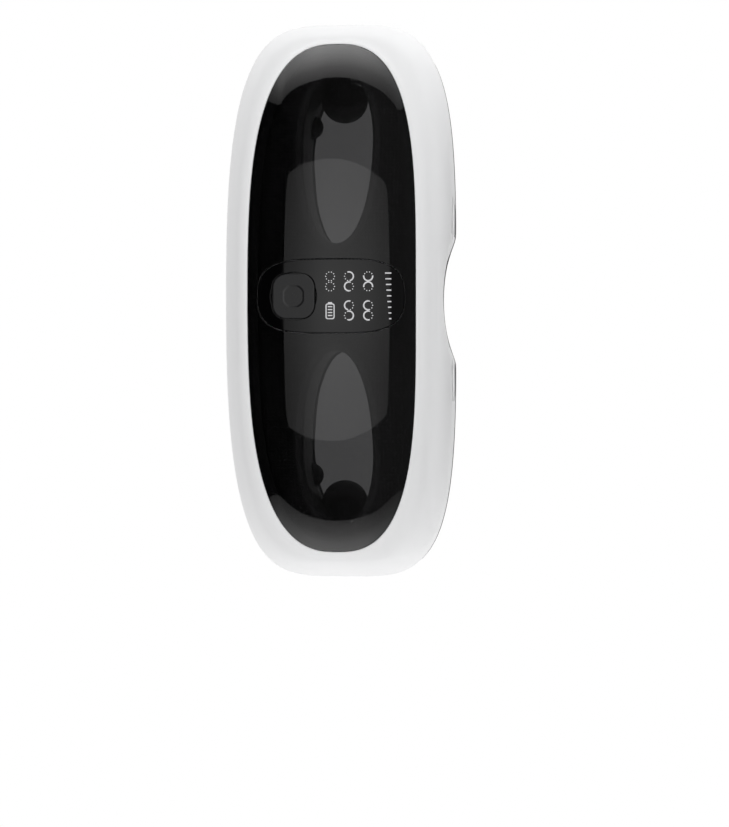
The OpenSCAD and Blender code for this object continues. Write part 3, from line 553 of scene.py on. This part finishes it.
def floor():
    """Pale, with a glow that only the camera sees. From below, in reflections and for shadow
    rays it is clear."""
    m, tree = empty_material("floor")
    path = tree.node("LightPath").outputs
    pale = tree.node("BsdfDiffuse", {"Color": (0.92, 0.92, 0.92, 1)})
    level = tree.maths("MULTIPLY", path["Is Camera Ray"], 0.56)
    glow = tree.node("Emission", {"Strength": level})
    both = tree.node("AddShader", {0: pale.outputs["BSDF"], 1: glow.outputs["Emission"]})
    below = tree.node("NewGeometry").outputs["Backfacing"]
    clear = tree.maths("MAXIMUM", below, path["Is Glossy Ray"])
    clear = tree.maths("MAXIMUM", clear, path["Is Shadow Ray"])
    tree.surface(tree.mixed(clear, both, tree.node("BsdfTransparent")))
    s = 3.0
    stage_mesh("floor", [(-s, -s, 0), (s, -s, 0), (s, s, 0), (-s, s, 0)], [(0, 1, 2, 3)], m)


def card(name, rows, levels):
    """A softbox that only reflections show. rows are lines of (x, z) in metres, from one side
    to the other, and levels are the radiance at each point."""
    n = len(rows[0])
    pts = [(x, CARD_Y, z + LIFT * 0.001) for row in rows for x, z in row]
    corners = [k * n + i for k in range(len(rows) - 1) for i in range(n - 1)]
    faces = [(a, a + 1, a + n + 1, a + n) for a in corners]
    m, tree = empty_material(name)
    tone = tree.node("VertexColor", layer_name="level")
    tree.surface(tree.node("Emission", {"Color": tone.outputs["Color"]}))
    obj = stage_mesh(name, pts, faces, m)
    layer = obj.data.color_attributes.new("level", "FLOAT_COLOR", "POINT")
    for at, v in zip(layer.data, [v for row in levels for v in row]):
        at.color = (v, v, v, 1)
    obj.visible_camera = False
    obj.visible_diffuse = False
    obj.visible_shadow = False


def line_through(points):
    """A smooth line through the given (x, z), in CARD_STEPS equal steps along it."""
    p = np.array(points)
    out = []
    for t in np.linspace(0, len(p) - 1, 400):
        i = min(int(t), len(p) - 2)
        u = t - i
        a, b = p[max(i - 1, 0)], p[i]
        c, d = p[i + 1], p[min(i + 2, len(p) - 1)]
        out.append(0.5 * (2 * b + (c - a) * u + (2 * a - 5 * b + 4 * c - d) * u * u
                          + (3 * b - a - 3 * c + d) * u ** 3))
    out = np.array(out)
    step = np.concatenate([[0], np.cumsum(np.hypot(*np.diff(out, axis=0).T))])
    at = np.linspace(0, step[-1], CARD_STEPS + 1)
    return list(zip(np.interp(at, step, out[:, 0]), np.interp(at, step, out[:, 1])))


def main_softbox():
    top = line_through([(0.462, -0.178), (0.490, -0.146), (0.540, -0.055), (0.577, 0.026),
                        (0.601, 0.090), (0.613, 0.138), (0.606, 0.191), (0.592, 0.257),
                        (0.571, 0.307), (0.542, 0.366)])
    low = line_through([(-0.394, -0.172), (-0.417, -0.139), (-0.467, -0.049), (-0.511, 0.061),
                        (-0.527, 0.113), (-0.528, 0.152), (-0.517, 0.217), (-0.491, 0.290),
                        (-0.463, 0.358)])
    steps = 24
    rows, levels = [], []
    for k in range(steps + 1):
        t = k / steps
        bulge = 4 * t * (1 - t)
        row = [(mix(a[0], b[0], t),
                mix(a[1], b[1], t) + 0.053 * bulge ** 0.7 * ((i / CARD_STEPS - 0.5) * 2) ** 3)
               for i, (a, b) in enumerate(zip(low, top))]
        along = np.interp(row[CARD_STEPS // 2][0], (-0.53, -0.3, 0.05, 0.25, 0.61),
                          (0.62, 0.7, 1.0, 0.82, 0.62))
        rows.append(row)
        levels.append([along * np.interp(z, (-0.19, -0.11, 0, 0.13, 0.2, 0.25, 0.35, 0.41),
                                         (0.68, 0.88, 1.02, 1.08, 0.95, 0.8, 0.56, 0.5))
                       for x, z in row])
    card("softbox", rows, levels)


def side_light(name, inner, offsets, levels, heights, fade):
    """A softbox beside the main one; its level rises outwards and fades at both ends."""
    rows = [[(x + d, z) for x, z in inner] for d in offsets]
    fades = [np.interp(z, heights, fade) for x, z in inner]
    card(name, rows, [[v * f for f in fades] for v in levels])


def softboxes():
    main_softbox()
    inner = line_through([(0.930, -0.330), (0.870, -0.262), (0.845, -0.208), (0.887, -0.172),
                          (0.970, -0.075), (1.024, 0.008), (1.065, 0.079), (1.090, 0.137),
                          (1.098, 0.180), (1.080, 0.235), (1.039, 0.333), (0.981, 0.413),
                          (0.930, 0.452), (0.946, 0.511), (0.975, 0.600)])
    side_light("top_light", inner, (0, 0.08, 0.16, 0.26, 0.6), (0.8, 1.6, 3.2, 5, 5),
               (-0.3, -0.12, 0.08, 0.25, 0.42, 0.5), (0.5, 0.6, 1, 1, 0.58, 0.48))
    inner = line_through([(-0.700, -0.300), (-0.743, -0.221), (-0.810, -0.117), (-0.875, -0.030),
                          (-0.924, 0.075), (-0.948, 0.149), (-0.943, 0.198), (-0.911, 0.284),
                          (-0.869, 0.356), (-0.809, 0.449), (-0.826, 0.548)])
    side_light("low_light", inner, (0, -0.08, -0.16, -0.24), (0.55, 1.05, 2.0, 2.7),
               (-0.3, -0.12, 0.08, 0.25, 0.4, 0.5), (0.5, 0.58, 1, 1, 0.66, 0.6))


def lamp(name, at, power):
    """A square lamp aimed at the object's middle; reflections don't show it."""
    data = bpy.data.lights.new(name, "AREA")
    data.shape = "SQUARE"
    data.size = 0.8
    data.energy = power
    obj = bpy.data.objects.new(name, data)
    obj.location = at
    aim = Vector((0, 0, 0.037)) - Vector(at)
    obj.rotation_euler = aim.to_track_quat("-Z", "Y").to_euler()
    obj.visible_glossy = False
    COLLECTION.objects.link(obj)


camera()
world()
floor()
softboxes()
lamp("lamp_top", (1.3, -0.5, 0.08), 10.2)
lamp("lamp_low", (-1.3, -0.5, 0.08), 8.2)
lamp("lamp_under", (0, -0.3, -1.0), 2.8)


# ---------------------------------------------------------------- front shell and window

def front_shell():
    edge = 0.16
    rings = []
    for k in range(5):
        t = math.radians(22.5 * k)
        rings.append(body_ring(0, 0.4 - edge * (1 - math.cos(t)),
                               FRONT_Y + edge - edge * math.sin(t)))
    rings += [rim_ring(d) for d in range(3, 91, 3)]
    rings += [body_ring(1, 0.1 * (y + 6) / 12, y) for y in (-3.0, 0.0, 3.0, 5.0)]
    rings += [body_ring(1, inset, y) for inset, y in
              ((0.1, 5.7), (0.14, 5.87), (0.26, 5.97), (0.4, 6.0), (2.3, 6.0), (RIM_WALL, -6.0))]
    rings += [rim_ring(d, RIM_WALL, mix(2.0, 0.3, d / 90)) for d in (80, 70, 60, 50, 42, 35)]
    rings += [body_ring(0, inset, y) for inset, y in
              ((0.5, -27.15), (3.5, -27.15), (3.5, -28.85), (0.4, -28.85))]
    for r in rings:
        r[:, 2] = np.maximum(r[:, 2], -LIFT)
    shell = Build().rings(rings, closed=True).make("shell", angle=50)
    # sound holes in both ends, and the charging slot on the brow side
    tools = []
    for sx in (1, -1):
        for k in range(-2, 3):
            at = Matrix.Translation((sx * 86, 17.5, k * 3.4)) @ Matrix.Rotation(
                math.radians(90 * sx), 4, "Y")
            tools.append(Build().lathe(rod(0.7, 0, 9), at, 24).make("hole"))
    slot_x, slot_y = -44, 0.4
    line = rounded_square(9.4, 3.6, 1.79, 10) + np.array([slot_x, slot_y])
    low, high = 32.2, 40.2
    rings = [np.column_stack([line, np.full(len(line), z)]) for z in (low, high)]
    tools.append(Build().rings(rings, front=(slot_x, slot_y, low),
                               back=(slot_x, slot_y, high)).make("slot"))
    cut(shell, tools, 50)
    finish_piece(shell, "white_shell", "body", "white_shell", "front_shell")


def gasket():
    rings = [body_ring(0, inset, y) for inset, y in
             ((0.5, -29.17), (0.5, -28.9), (3.52, -28.9), (3.52, -27.12), (3.6, -27.12),
              (3.6, -29.17))]
    ring = Build().rings(rings, closed=True).make("gasket", angle=30)
    finish_piece(ring, "black_matte", "body", "black_matte", "window_gasket")


def window():
    wx, wz = outline(turns(384), *WINDOW)
    size = np.hypot(wx, wz)
    dx, dz = wx / size, wz / size
    inner = 1 / share(dx, dz, PANEL[0] + 0.25, PANEL[1] + 0.25, *PANEL[2:])

    def ring(t, extra, back):
        r = mix(inner, size, t) + extra
        x, z = dx * r, dz * r
        return np.column_stack([x, window_y(x, z) + back, z])

    steps = 30
    rings = [ring(0, 0, 0.16), ring(0, 0.047, 0.047), ring(0, 0.16, 0), ring(0, 0.22, 0)]
    rings += [ring(k / steps, 0, 0) for k in range(1, steps)]
    rings += [ring(1, extra, back) for extra, back in
              ((-0.16, 0), (-0.1, 0), (-0.03, 0.03), (0, 0.1), (0, 1.7), (-0.1, WINDOW_THICK))]
    rings += [ring(k / steps, 0, WINDOW_THICK) for k in range(steps - 1, -1, -1)]
    obj = Build().rings(rings, closed=True).make("window", angle=50)
    finish_piece(obj, "smoky_window", "body", "smoky_window", "window_lens")


def panel():
    """The panel's rings run from its hole for the button out to its edge."""
    n = 240
    a = circle(n)
    dx, dz = np.cos(a), np.sin(a)
    line = rounded_square(BUTTON_LENGTH + 0.3, BUTTON_HEIGHT + 0.3, 4.6, 40)
    ang = np.arctan2(line[:, 1], line[:, 0]) % (2 * np.pi)
    order = np.argsort(ang)
    rad = np.hypot(line[:, 0], line[:, 1])[order]
    hole = np.interp(a, ang[order], rad, period=2 * np.pi)
    low, high = np.zeros(n), np.full(n, 60.0)
    for _ in range(40):
        mid = (low + high) / 2
        out = share(dx * mid, dz * mid + BUTTON_Z, *PANEL) > 1
        high = np.where(out, mid, high)
        low = np.where(out, low, mid)
    edge = (low + high) / 2

    def ring(t, extra, back):
        r = mix(hole, edge, t) + extra
        x, z = dx * r, dz * r + BUTTON_Z
        return np.column_stack([x, window_y(x, z) + back, z])

    steps = 20
    rings = [ring(0, extra, back) for extra, back in
             ((0, PANEL_THICK), (0, 0.08), (0.023, 0.023), (0.08, 0), (0.14, 0))]
    rings += [ring(k / steps, 0, 0) for k in range(1, steps)]
    rings += [ring(1, extra, back) for extra, back in
              ((-0.22, 0), (-0.16, 0), (-0.047, 0.047), (0, 0.16), (0, PANEL_THICK))]
    rings += [ring(k / steps, 0, PANEL_THICK) for k in range(steps - 1, 0, -1)]
    obj = Build().rings(rings, closed=True).make("panel", angle=50)
    finish_piece(obj, "black_gloss", "body", "black_gloss", "control_panel")


def button():
    z = BUTTON_Z
    tilt = -math.atan(2 * WINDOW_BULGE * z / WINDOW[1] ** 2)
    middle = (0, FRONT_Y - WINDOW_BULGE + WINDOW_BULGE * (z / WINDOW[1]) ** 2, z)
    place_at = Matrix.Translation(middle) @ Matrix.Rotation(tilt, 4, "X")

    def point(x, y, z):
        return place_at @ Vector((x, y, z))

    def ring(inset, y):
        line = rounded_square(BUTTON_LENGTH - 2 * inset, BUTTON_HEIGHT - 2 * inset,
                              max(0.4, 4.5 - inset), 14)
        return np.array([point(x, y, z) for x, z in line])

    def face(x, z):
        """Height of the face: flat, with a shallow round dish for the fingertip."""
        edge = min(1.0, max(0.0, (3.75 - math.hypot(x, z)) / 0.5))
        return 0.02 + 0.07 * edge ** 2 * (3 - 2 * edge)

    rings = [ring(inset, y) for inset, y in
             ((0, 2.3), (0, 0.32), (0.03, 0.2), (0.1, 0.09), (0.22, 0.03), (0.36, 0.02))]
    line = rounded_square(BUTTON_LENGTH - 1, BUTTON_HEIGHT - 1, 4.0, 14)
    for k in range(40):
        s = 1 - k / 40
        rings.append(np.array([point(x * s, face(x * s, z * s), z * s) for x, z in line]))
    b = Build().rings(rings, back=tuple(point(0, face(0, 0), 0)))
    front, back = 2.3, 3.1
    b.rings([ring(-1.0, front), ring(-1.0, back)], front=tuple(point(0, front, 0)),
            back=tuple(point(0, back, 0)))
    stem = place_at @ Matrix.Rotation(math.radians(-90), 4, "X")
    b.lathe([(1.6, 3.0), (1.6, 4.89), (AXIS, 4.89)], stem, 32)
    finish_piece(b.make("button", angle=50), "button_black", "power_button", "black_gloss",
                 "power_button")


front_shell()
gasket()
window()
panel()
button()


# ---------------------------------------------------------------- marks on the panel

def on_circle(x, z, r, degrees):
    t = math.radians(degrees)
    return x + r * math.cos(t), z + r * math.sin(t)


def patch(b, points):
    """A thin flat mark: its outline in x and z, laid on the panel."""
    n = len(points)
    x, z = np.array(points).T
    y = window_y(x, z)
    faces = [tuple(range(n))]
    faces += [(i, (i + 1) % n, n + (i + 1) % n, n + i) for i in range(n)]
    b.add(np.vstack([np.column_stack([x, y - 0.04, z]), np.column_stack([x, y + 0.02, z])]),
          faces)


def ring_mark(b, x, z, arcs):
    """A ring of dots with these arcs of it drawn full, in degrees from +X towards +Z."""
    for k in range(10):
        a = 36 * k + 18
        if any((a - s) % 360 < e - s for s, e in arcs):
            continue
        dot = on_circle(x, z, 1.4, a)
        patch(b, [on_circle(*dot, 0.19, 45 * t) for t in range(8)])
    for s, e in arcs:
        steps = [mix(s, e, k / 16) for k in range(17)]
        patch(b, [on_circle(x, z, 1.62, a) for a in steps]
              + [on_circle(x, z, 1.18, a) for a in reversed(steps)])


def marks():
    b = Build()
    # two rows of double rings, each with the full arcs of its upper and its lower ring
    for x, z, upper, lower in ((4.6, 0.0, [], []),
                               (4.6, -6.0, [(-170, 20)], [(-10, 190)]),
                               (4.6, -12.06, [(80, 280)], [(-100, 100)]),
                               (-4.6, -6.0, [(-20, 170)], [(-190, 10)]),
                               (-4.6, -12.06, [(-10, 190)], [(-10, 200)])):
        ring_mark(b, x + 1.6, z, upper)
        ring_mark(b, x - 1.6, z, lower)
    # battery outline with a cap and four bars
    middle = np.array([-4.85, 0])
    case = rounded_square(5.0, 2.9, 0.7, 5) + middle
    hole = rounded_square(4.3, 2.2, 0.42, 5) + middle
    for k in range(len(case)):
        q = (k + 1) % len(case)
        patch(b, [case[k], case[q], hole[q], hole[k]])
    patch(b, [(-2.35, -0.75), (-1.95, -0.6), (-1.95, 0.6), (-2.35, 0.75)])
    for k in range(4):
        x = -6.35 + 0.93 * k
        patch(b, [(x, -0.72), (x + 0.36, -0.72), (x + 0.36, 0.72), (x, 0.72)])
    # level ticks
    for k in range(9):
        x, low, high = -7.2 + 1.8 * k, -19.3, -18.6 + 0.16 * k
        patch(b, [(x - 0.2, low), (x + 0.2, low), (x + 0.2, high), (x - 0.2, high)])
    finish_piece(b.make("marks", angle=30), "lit_marks", "body", "lamp")


marks()


# ---------------------------------------------------------------- inner frame and eye tunnels

def inner_frame():
    wx, wz = outline(turns(BODY_POINTS), *FRAME)

    def ring(t, back):
        x, z = wx * t, wz * t
        return np.column_stack([x, frame_plate_y(x, z) + back, z])

    steps = [k / 40 for k in range(2, 41)]
    rings = [ring(t, 0) for t in steps] + [ring(t, FRAME_THICK) for t in reversed(steps)]
    plate = Build().rings(rings, front=(0, FRAME_Y, 0),
                          back=(0, FRAME_Y + FRAME_THICK, 0)).make("frame")
    tools = []
    for mirror in (False, True):
        tools.append(Build().rings([eye_ring(1.7, FRAME_Y - 4), eye_ring(1.7, FRAME_Y + 5)],
                                   front=(EYE_X, FRAME_Y + 1, EYE_Z),
                                   back=(EYE_X, FRAME_Y + 10, EYE_Z)).make("leaf", mirror))
    line = rounded_square(WELL_LENGTH, WELL_HEIGHT, 1.5, 6)
    front, back = -36, -24
    rings = [np.column_stack([line[:, 0], np.full(len(line), y), line[:, 1]])
             for y in (front, back)]
    tools.append(Build().rings(rings, front=(0, front, 0), back=(0, back, 0)).make("well"))
    cut(plate, tools, 30)
    finish_piece(plate, "frame_black", "body", "black_matte", "inner_frame")


def tunnel_front(mirror):
    """The rolled lip on the frame and the front half of an eye tunnel."""
    def on_plate(g, drop):
        r = eye_ring(g, 0)
        r[:, 1] = frame_plate_y(r[:, 0], r[:, 2]) + drop
        return r

    rings = [on_plate(g, drop) for g, drop in
             ((2.6, 0.05), (2.4, -0.06), (1.6, -0.06), (0.9, 0.12), (0.4, 0.5), (0.12, 1.1),
              (0.0, 1.8))]
    rings += [eye_ring(0, y) for y in np.linspace(-24, JOINT_Y, 8)]
    rings += [eye_ring(EYE_WALL, JOINT_Y), eye_ring(EYE_WALL, -25.5)]
    obj = Build().rings(rings, closed=True).make("tunnel_right" if mirror else "tunnel_left",
                                                 mirror, angle=50)
    finish_piece(obj, "tunnel_grey", "body", "black_matte")


def collar():
    """The wall that carries the panel."""
    x, z = outline(circle(200), PANEL[0] - 0.5, PANEL[1] - 0.5, *PANEL[2:])
    obj = Build().rings([np.column_stack([x, window_y(x, z) + back, z])
                         for back in (1.75, 4.9)]).make("collar")
    obj.modifiers.new("wall", "SOLIDIFY").thickness = 0.0012
    baked(obj)
    finish_piece(obj, "black_matte", "body", "black_matte")


def temple_at():
    return Matrix.Translation(TEMPLE) @ Matrix.Rotation(TEMPLE_TILT, 4, "Z") @ \
        Matrix.Rotation(math.radians(-90), 4, "X")


def brow_at():
    return Matrix.Translation(BROW) @ Matrix.Rotation(-math.pi / 2 - BROW_TILT, 4, "X")


def sleeve(mirror):
    """Rear half of an eye tunnel, with the guides and cups of its massage heads."""
    side = "right" if mirror else "left"
    temple, brow = temple_at(), brow_at()

    def turned(at, *size):
        return Build().lathe(rod(*size), at).make("rod", mirror)

    def bores():
        return [turned(temple, 2.55, -16, -4), turned(temple, 8.15, -1.8, 9),
                turned(brow, 1.65, -11, 1), turned(brow, 4.35, -1.55, 6.5)]

    def space():
        """The room in the tunnel."""
        y1, y2 = JOINT_Y - 1, SLEEVE_BACK + 1
        return Build().rings([eye_ring(flare(y) + 0.02, y) for y in np.linspace(y1, y2, 14)],
                             front=(EYE_X, y1 + wrap(EYE_X), EYE_Z),
                             back=(EYE_X, y2 + wrap(EYE_X), EYE_Z)).make("space", mirror)

    ys = np.linspace(JOINT_Y + 0.06, SLEEVE_BACK, 24)
    rings = [eye_ring(EYE_WALL + flare(y), y) for y in ys]
    rings += [eye_ring(flare(y), y) for y in ys[::-1]]
    wall = Build().rings(rings, closed=True).make("wall", mirror)
    cut(wall, bores(), 18)
    parts = [wall]
    for at, r, z1, z2 in ((temple, 4.2, -13.2, -6.8), (temple, 9.3, -3.2, 1.4),
                          (brow, 3.1, -9.4, -2.0), (brow, 5.5, -3.4, -0.4)):
        extra = turned(at, r, z1, z2)
        cut(extra, [space()] + bores(), 35)
        parts.append(extra)
    finish_piece(joined("sleeve_" + side, parts), "tunnel_grey", "body", "black_matte",
                 "eye_sleeve_" + side)


def joined(name, parts):
    """Several meshes as one piece."""
    bm = bmesh.new()
    for part in parts:
        bm.from_mesh(part.data)
        bpy.data.objects.remove(part)
    return from_bmesh(bm, name, bpy.data.meshes.new(name), 35)


def heads(mirror):
    """The temple head, with a shallow dish in its back, and the brow head. The temple head's stem
    and dish get a darker material: painted shade in the hollow.
    """
    side = "right" if mirror else "left"
    profile = [(2.0, -12.6), (2.5, -12.4), (2.5, -0.5), (2.65, -0.25), (3.1, -0.12),
               (4.2, -0.2), (4.9, -0.5), (5.3, -1.0), (5.55, -1.35), (5.9, -1.5), (6.9, -1.5),
               (7.6, -1.42), (8.02, -1.2), (8.08, -0.95), (7.98, -0.75), (TEMPLE_R, -0.6)]
    obj = Build().lathe(profile + dome(TEMPLE_R, -3, 30), temple_at(), TEMPLE_SIDES).make(
        "temple_" + side, mirror, angle=50)
    finish_piece(obj, "head_rubber", "temple_head_" + side, "head_rubber", "temple_head_" + side)
    # the first bands, the stem and the dish, take the darker material as painted shade
    obj.data.materials.append(MATERIALS["head_hollow_painted_shade"])
    for face in obj.data.polygons[:TEMPLE_SIDES * HOLLOW_SHADE_BANDS]:
        face.material_index = 1
    profile = [(1.2, -8), (1.6, -7.8), (1.6, -1.2), (3.6, -1.2), (3.8, -1.1), (3.9, -0.8)]
    obj = Build().lathe(profile + dome(BROW_R, -8, 24), brow_at(), 72).make(
        "brow_" + side, mirror, angle=50)
    finish_piece(obj, "head_rubber", "brow_head_" + side, "head_rubber", "brow_head_" + side)


inner_frame()
tunnel_front(False)
tunnel_front(True)
collar()
for mirror in (False, True):
    sleeve(mirror)
    heads(mirror)


# ---------------------------------------------------------------- face cushion

def cushion_edge(inset, y):
    x, z = outline(turns(240), PAD[0] - inset, PAD[1] - inset, *PAD[2:])
    t = max(0.0, min(1.0, (y - FLANGE) / PAD_DEPTH))
    z = z + np.where(z < 0, NOTCH * mix(0.95, 2.9, t) * arch(x), 0.0)
    return np.column_stack([x, y + (1 + PAD_BEND * (y - FLANGE) / PAD_DEPTH) * wrap(x), z])


def cushion_depth(p):
    """Depth of points (in mm) behind the flange, along the sweep of the cushion."""
    w = wrap(p[:, 0])
    return (p[:, 1] - FLANGE - w) / (1 + PAD_BEND * w / PAD_DEPTH)


def swollen(obj, held, cap):
    """Fills the pad out by a cloth simulation; held points stay, others move cap mm at most."""
    frames = 20
    start = millimetres(obj.data)
    group = obj.vertex_groups.new(name="held")
    group.add([int(i) for i in np.nonzero(held)[0]], 1.0, "REPLACE")
    cloth = obj.modifiers.new("cloth", "CLOTH")
    cloth.settings.vertex_group_mass = "held"
    cloth.settings.use_pressure = True
    cloth.settings.uniform_pressure_force = PRESSURE
    cloth.settings.effector_weights.gravity = 0
    cloth.settings.quality = 6
    cloth.settings.mass = 0.2
    cloth.settings.tension_stiffness = 8
    cloth.settings.compression_stiffness = 8
    cloth.settings.shear_stiffness = 4
    cloth.settings.bending_stiffness = 0.3
    cloth.point_cache.frame_start = 1
    cloth.point_cache.frame_end = frames
    for frame_number in range(1, frames + 1):
        bpy.context.scene.frame_set(frame_number)
    graph = bpy.context.evaluated_depsgraph_get()
    mesh = bpy.data.meshes.new_from_object(obj.evaluated_get(graph))
    step = millimetres(mesh) - start
    bpy.data.meshes.remove(mesh)
    obj.modifiers.clear()
    bpy.context.scene.frame_set(1)
    size = np.maximum(np.linalg.norm(step, axis=1), 1e-9)
    step *= (cap * np.tanh(size / cap) / size)[:, None]
    obj.data.vertices.foreach_set("co", place(start + step).ravel())
    obj.data.update()


def sideways(ahead):
    """Two directions across the ones given, one of them level with the pad."""
    side = np.cross(ahead, [0, 1, 0])
    side /= np.linalg.norm(side, axis=-1, keepdims=True)
    return side, np.cross(side, ahead)


def tube_round(line, r):
    """A closed tube round a closed line of points."""
    ahead = np.roll(line, -1, axis=0) - np.roll(line, 1, axis=0)
    ahead /= np.linalg.norm(ahead, axis=1)[:, None]
    side, up = sideways(ahead)
    rings = [line + r * (math.cos(a) * side + math.sin(a) * up) for a in circle(10)]
    return Build().rings(rings, closed=True)


def seam_line(g, n=200):
    """The sewn line round the left eye opening, in x and z."""
    return eye_ring(g, 0, n, side=0.2)[:, [0, 2]]


def cushion_pad():
    y0, t = PAD_Y, PAD_DEPTH
    front, back = 0.1, 9.7
    rings = [cushion_edge(i, y0 + d) for i, d in
             ((2.2, front), (1.5, 0.5), (1.3, 2.4), (1.0, 3.4), (0.9, 4.8), (1.4, 6.4),
              (2.7, 7.8), (4.6, 8.9), (7.0, 9.5), (9.6, back))]
    tops, lows = [], []
    for size in (0.8, 0.6, 0.4, 0.2, 0.05):
        for base, d, bend, out in ((rings[-1], back, 1 + PAD_BEND, tops),
                                   (rings[0], front, 1, lows)):
            r = base.copy()
            r[:, [0, 2]] *= size
            r[:, 1] = y0 + d + bend * wrap(r[:, 0])
            out.append(r)
    obj = Build().rings(lows[::-1] + rings + tops, front=(0, y0 + front, 0),
                        back=(0, y0 + back, 0)).make("cushion")
    # the eye openings widen towards the face
    near, far = -2, 1.2 * t
    funnel = [eye_ring(g, y0 + d, side=side) for g, d, side in
              ((1.2, near, 1.0), (1.2, 0.3 * t, 1.0), (1.5, 0.5 * t, 0.5), (2.4, 0.66 * t, 0.2),
               (3.6, 0.8 * t, 0.2), (5.2, 0.9 * t, 0.2), (8, 1.02 * t, 0.2), (11, far, 0.2))]
    tools = [Build().rings(funnel, front=(EYE_X, y0 + near + wrap(EYE_X), EYE_Z),
                           back=(EYE_X, y0 + far + wrap(EYE_X), EYE_Z)).make("eye", mirror)
             for mirror in (False, True)]
    cut(obj, tools)
    remesh = obj.modifiers.new("remesh", "REMESH")
    remesh.mode = "VOXEL"
    remesh.voxel_size = 0.0024
    baked(obj)
    p = millimetres(obj.data)
    depth = cushion_depth(p)
    gap = np.full(len(p), 99.0)
    for x, z in seam_line(6.4):
        gap = np.minimum(gap, np.hypot(np.abs(p[:, 0]) - x, p[:, 2] - z))
    sewn = (gap < 1.5) & (depth > 5)
    swollen(obj, (depth < 2.4) | sewn, 2.0)
    obj.modifiers.new("soft", "SUBSURF").levels = 1
    obj.modifiers["soft"].render_levels = 1
    baked(obj, 60)
    finish_piece(obj, "leatherette", "body", "leatherette", "face_cushion")
    return obj


def cushion_trim():
    """The side band and the piping on it."""
    band = [cushion_edge(i, PAD_Y + d) for i, d in
            ((1.8, 0.0), (0.35, 0.0), (0.12, 0.15), (0.05, 0.5), (0.05, 2.2), (0.3, 2.5),
             (1.8, 2.6))]
    finish_piece(Build().rings(band, closed=True).make("cushion_band", angle=50),
                 "leatherette", "body", "leatherette")
    finish_piece(tube_round(cushion_edge(0.5, PAD_Y + 3.0), 0.75).make("cushion_piping"),
                 "piping", "body", "leatherette")


def stitch(b, a, c):
    """One stitch from a to c, tapered at its ends."""
    side, up = sideways((c - a) / np.linalg.norm(c - a))
    rings = []
    for u, w in ((-0.12, 0.02), (0, 0.13), (0.25, 0.2), (0.75, 0.2), (1, 0.13), (1.12, 0.02)):
        rise = 0.12 * math.sin(math.pi * min(1, max(0, u)))
        mid = a + (c - a) * u + np.array([0, rise, 0])
        rings.append(np.array([mid + w * (math.cos(q) * side + math.sin(q) * up)
                               for q in circle(6)]))
    b.rings(rings, front=a, back=c)


def stitches(pad):
    """Two rows of stitches round each eye opening, laid on the pad."""
    tree = BVHTree.FromObject(pad, bpy.context.evaluated_depsgraph_get())
    b = Build()
    for sx in (1, -1):
        for g in (5.3, 7.5):
            line = seam_line(g, 400)
            along = np.cumsum(np.hypot(*np.diff(line, axis=0, append=line[:1]).T))
            count = int(along[-1] / 2.6)
            for k in range(count):
                ends = []
                for s in (0.16, 0.84):
                    i = int(np.searchsorted(along, (k + s) / count * along[-1])) % len(line)
                    x, z = line[i]
                    above = place([(sx * x, 60, z)])[0].tolist()
                    hit = tree.ray_cast(above, (0, -1, 0))[0]
                    if hit is not None:
                        ends.append(unplaced(hit))
                if len(ends) == 2:
                    stitch(b, *ends)
    finish_piece(b.make("cushion_stitches"), "stitch", "body", "leatherette")


def flange_trim():
    """Smooth dark lip round the rear shell's flange."""
    rings = [body_ring(1, i, y) for i, y in
             ((4.5, 6.03), (0.2, 6.03), (0.08, 6.08), (0.04, 6.2), (0.06, 8.4), (0.16, 8.8),
              (0.4, 9.02), (0.7, 9.1), (4.5, 9.1))]
    for r in rings:
        r[:, 2] -= np.where(r[:, 2] < 0, 1.2 * arch(r[:, 0]) ** 2.2, 0.0)
    finish_piece(Build().rings(rings).make("flange_trim", angle=50), "black_matte", "body",
                 "black_matte")


pad = cushion_pad()
cushion_trim()
stitches(pad)
flange_trim()


# ---------------------------------------------------------------- the CAD nodes that stay

for part in frame["record"]["subparts"]:
    node = frame["nodes"][part["node"]]
    if node.hide_render:
        continue
    node.data.materials.clear()
    node.data.materials.append(MATERIALS[part["material_slot"]])

bpy.context.scene.view_settings.view_transform = "Standard"
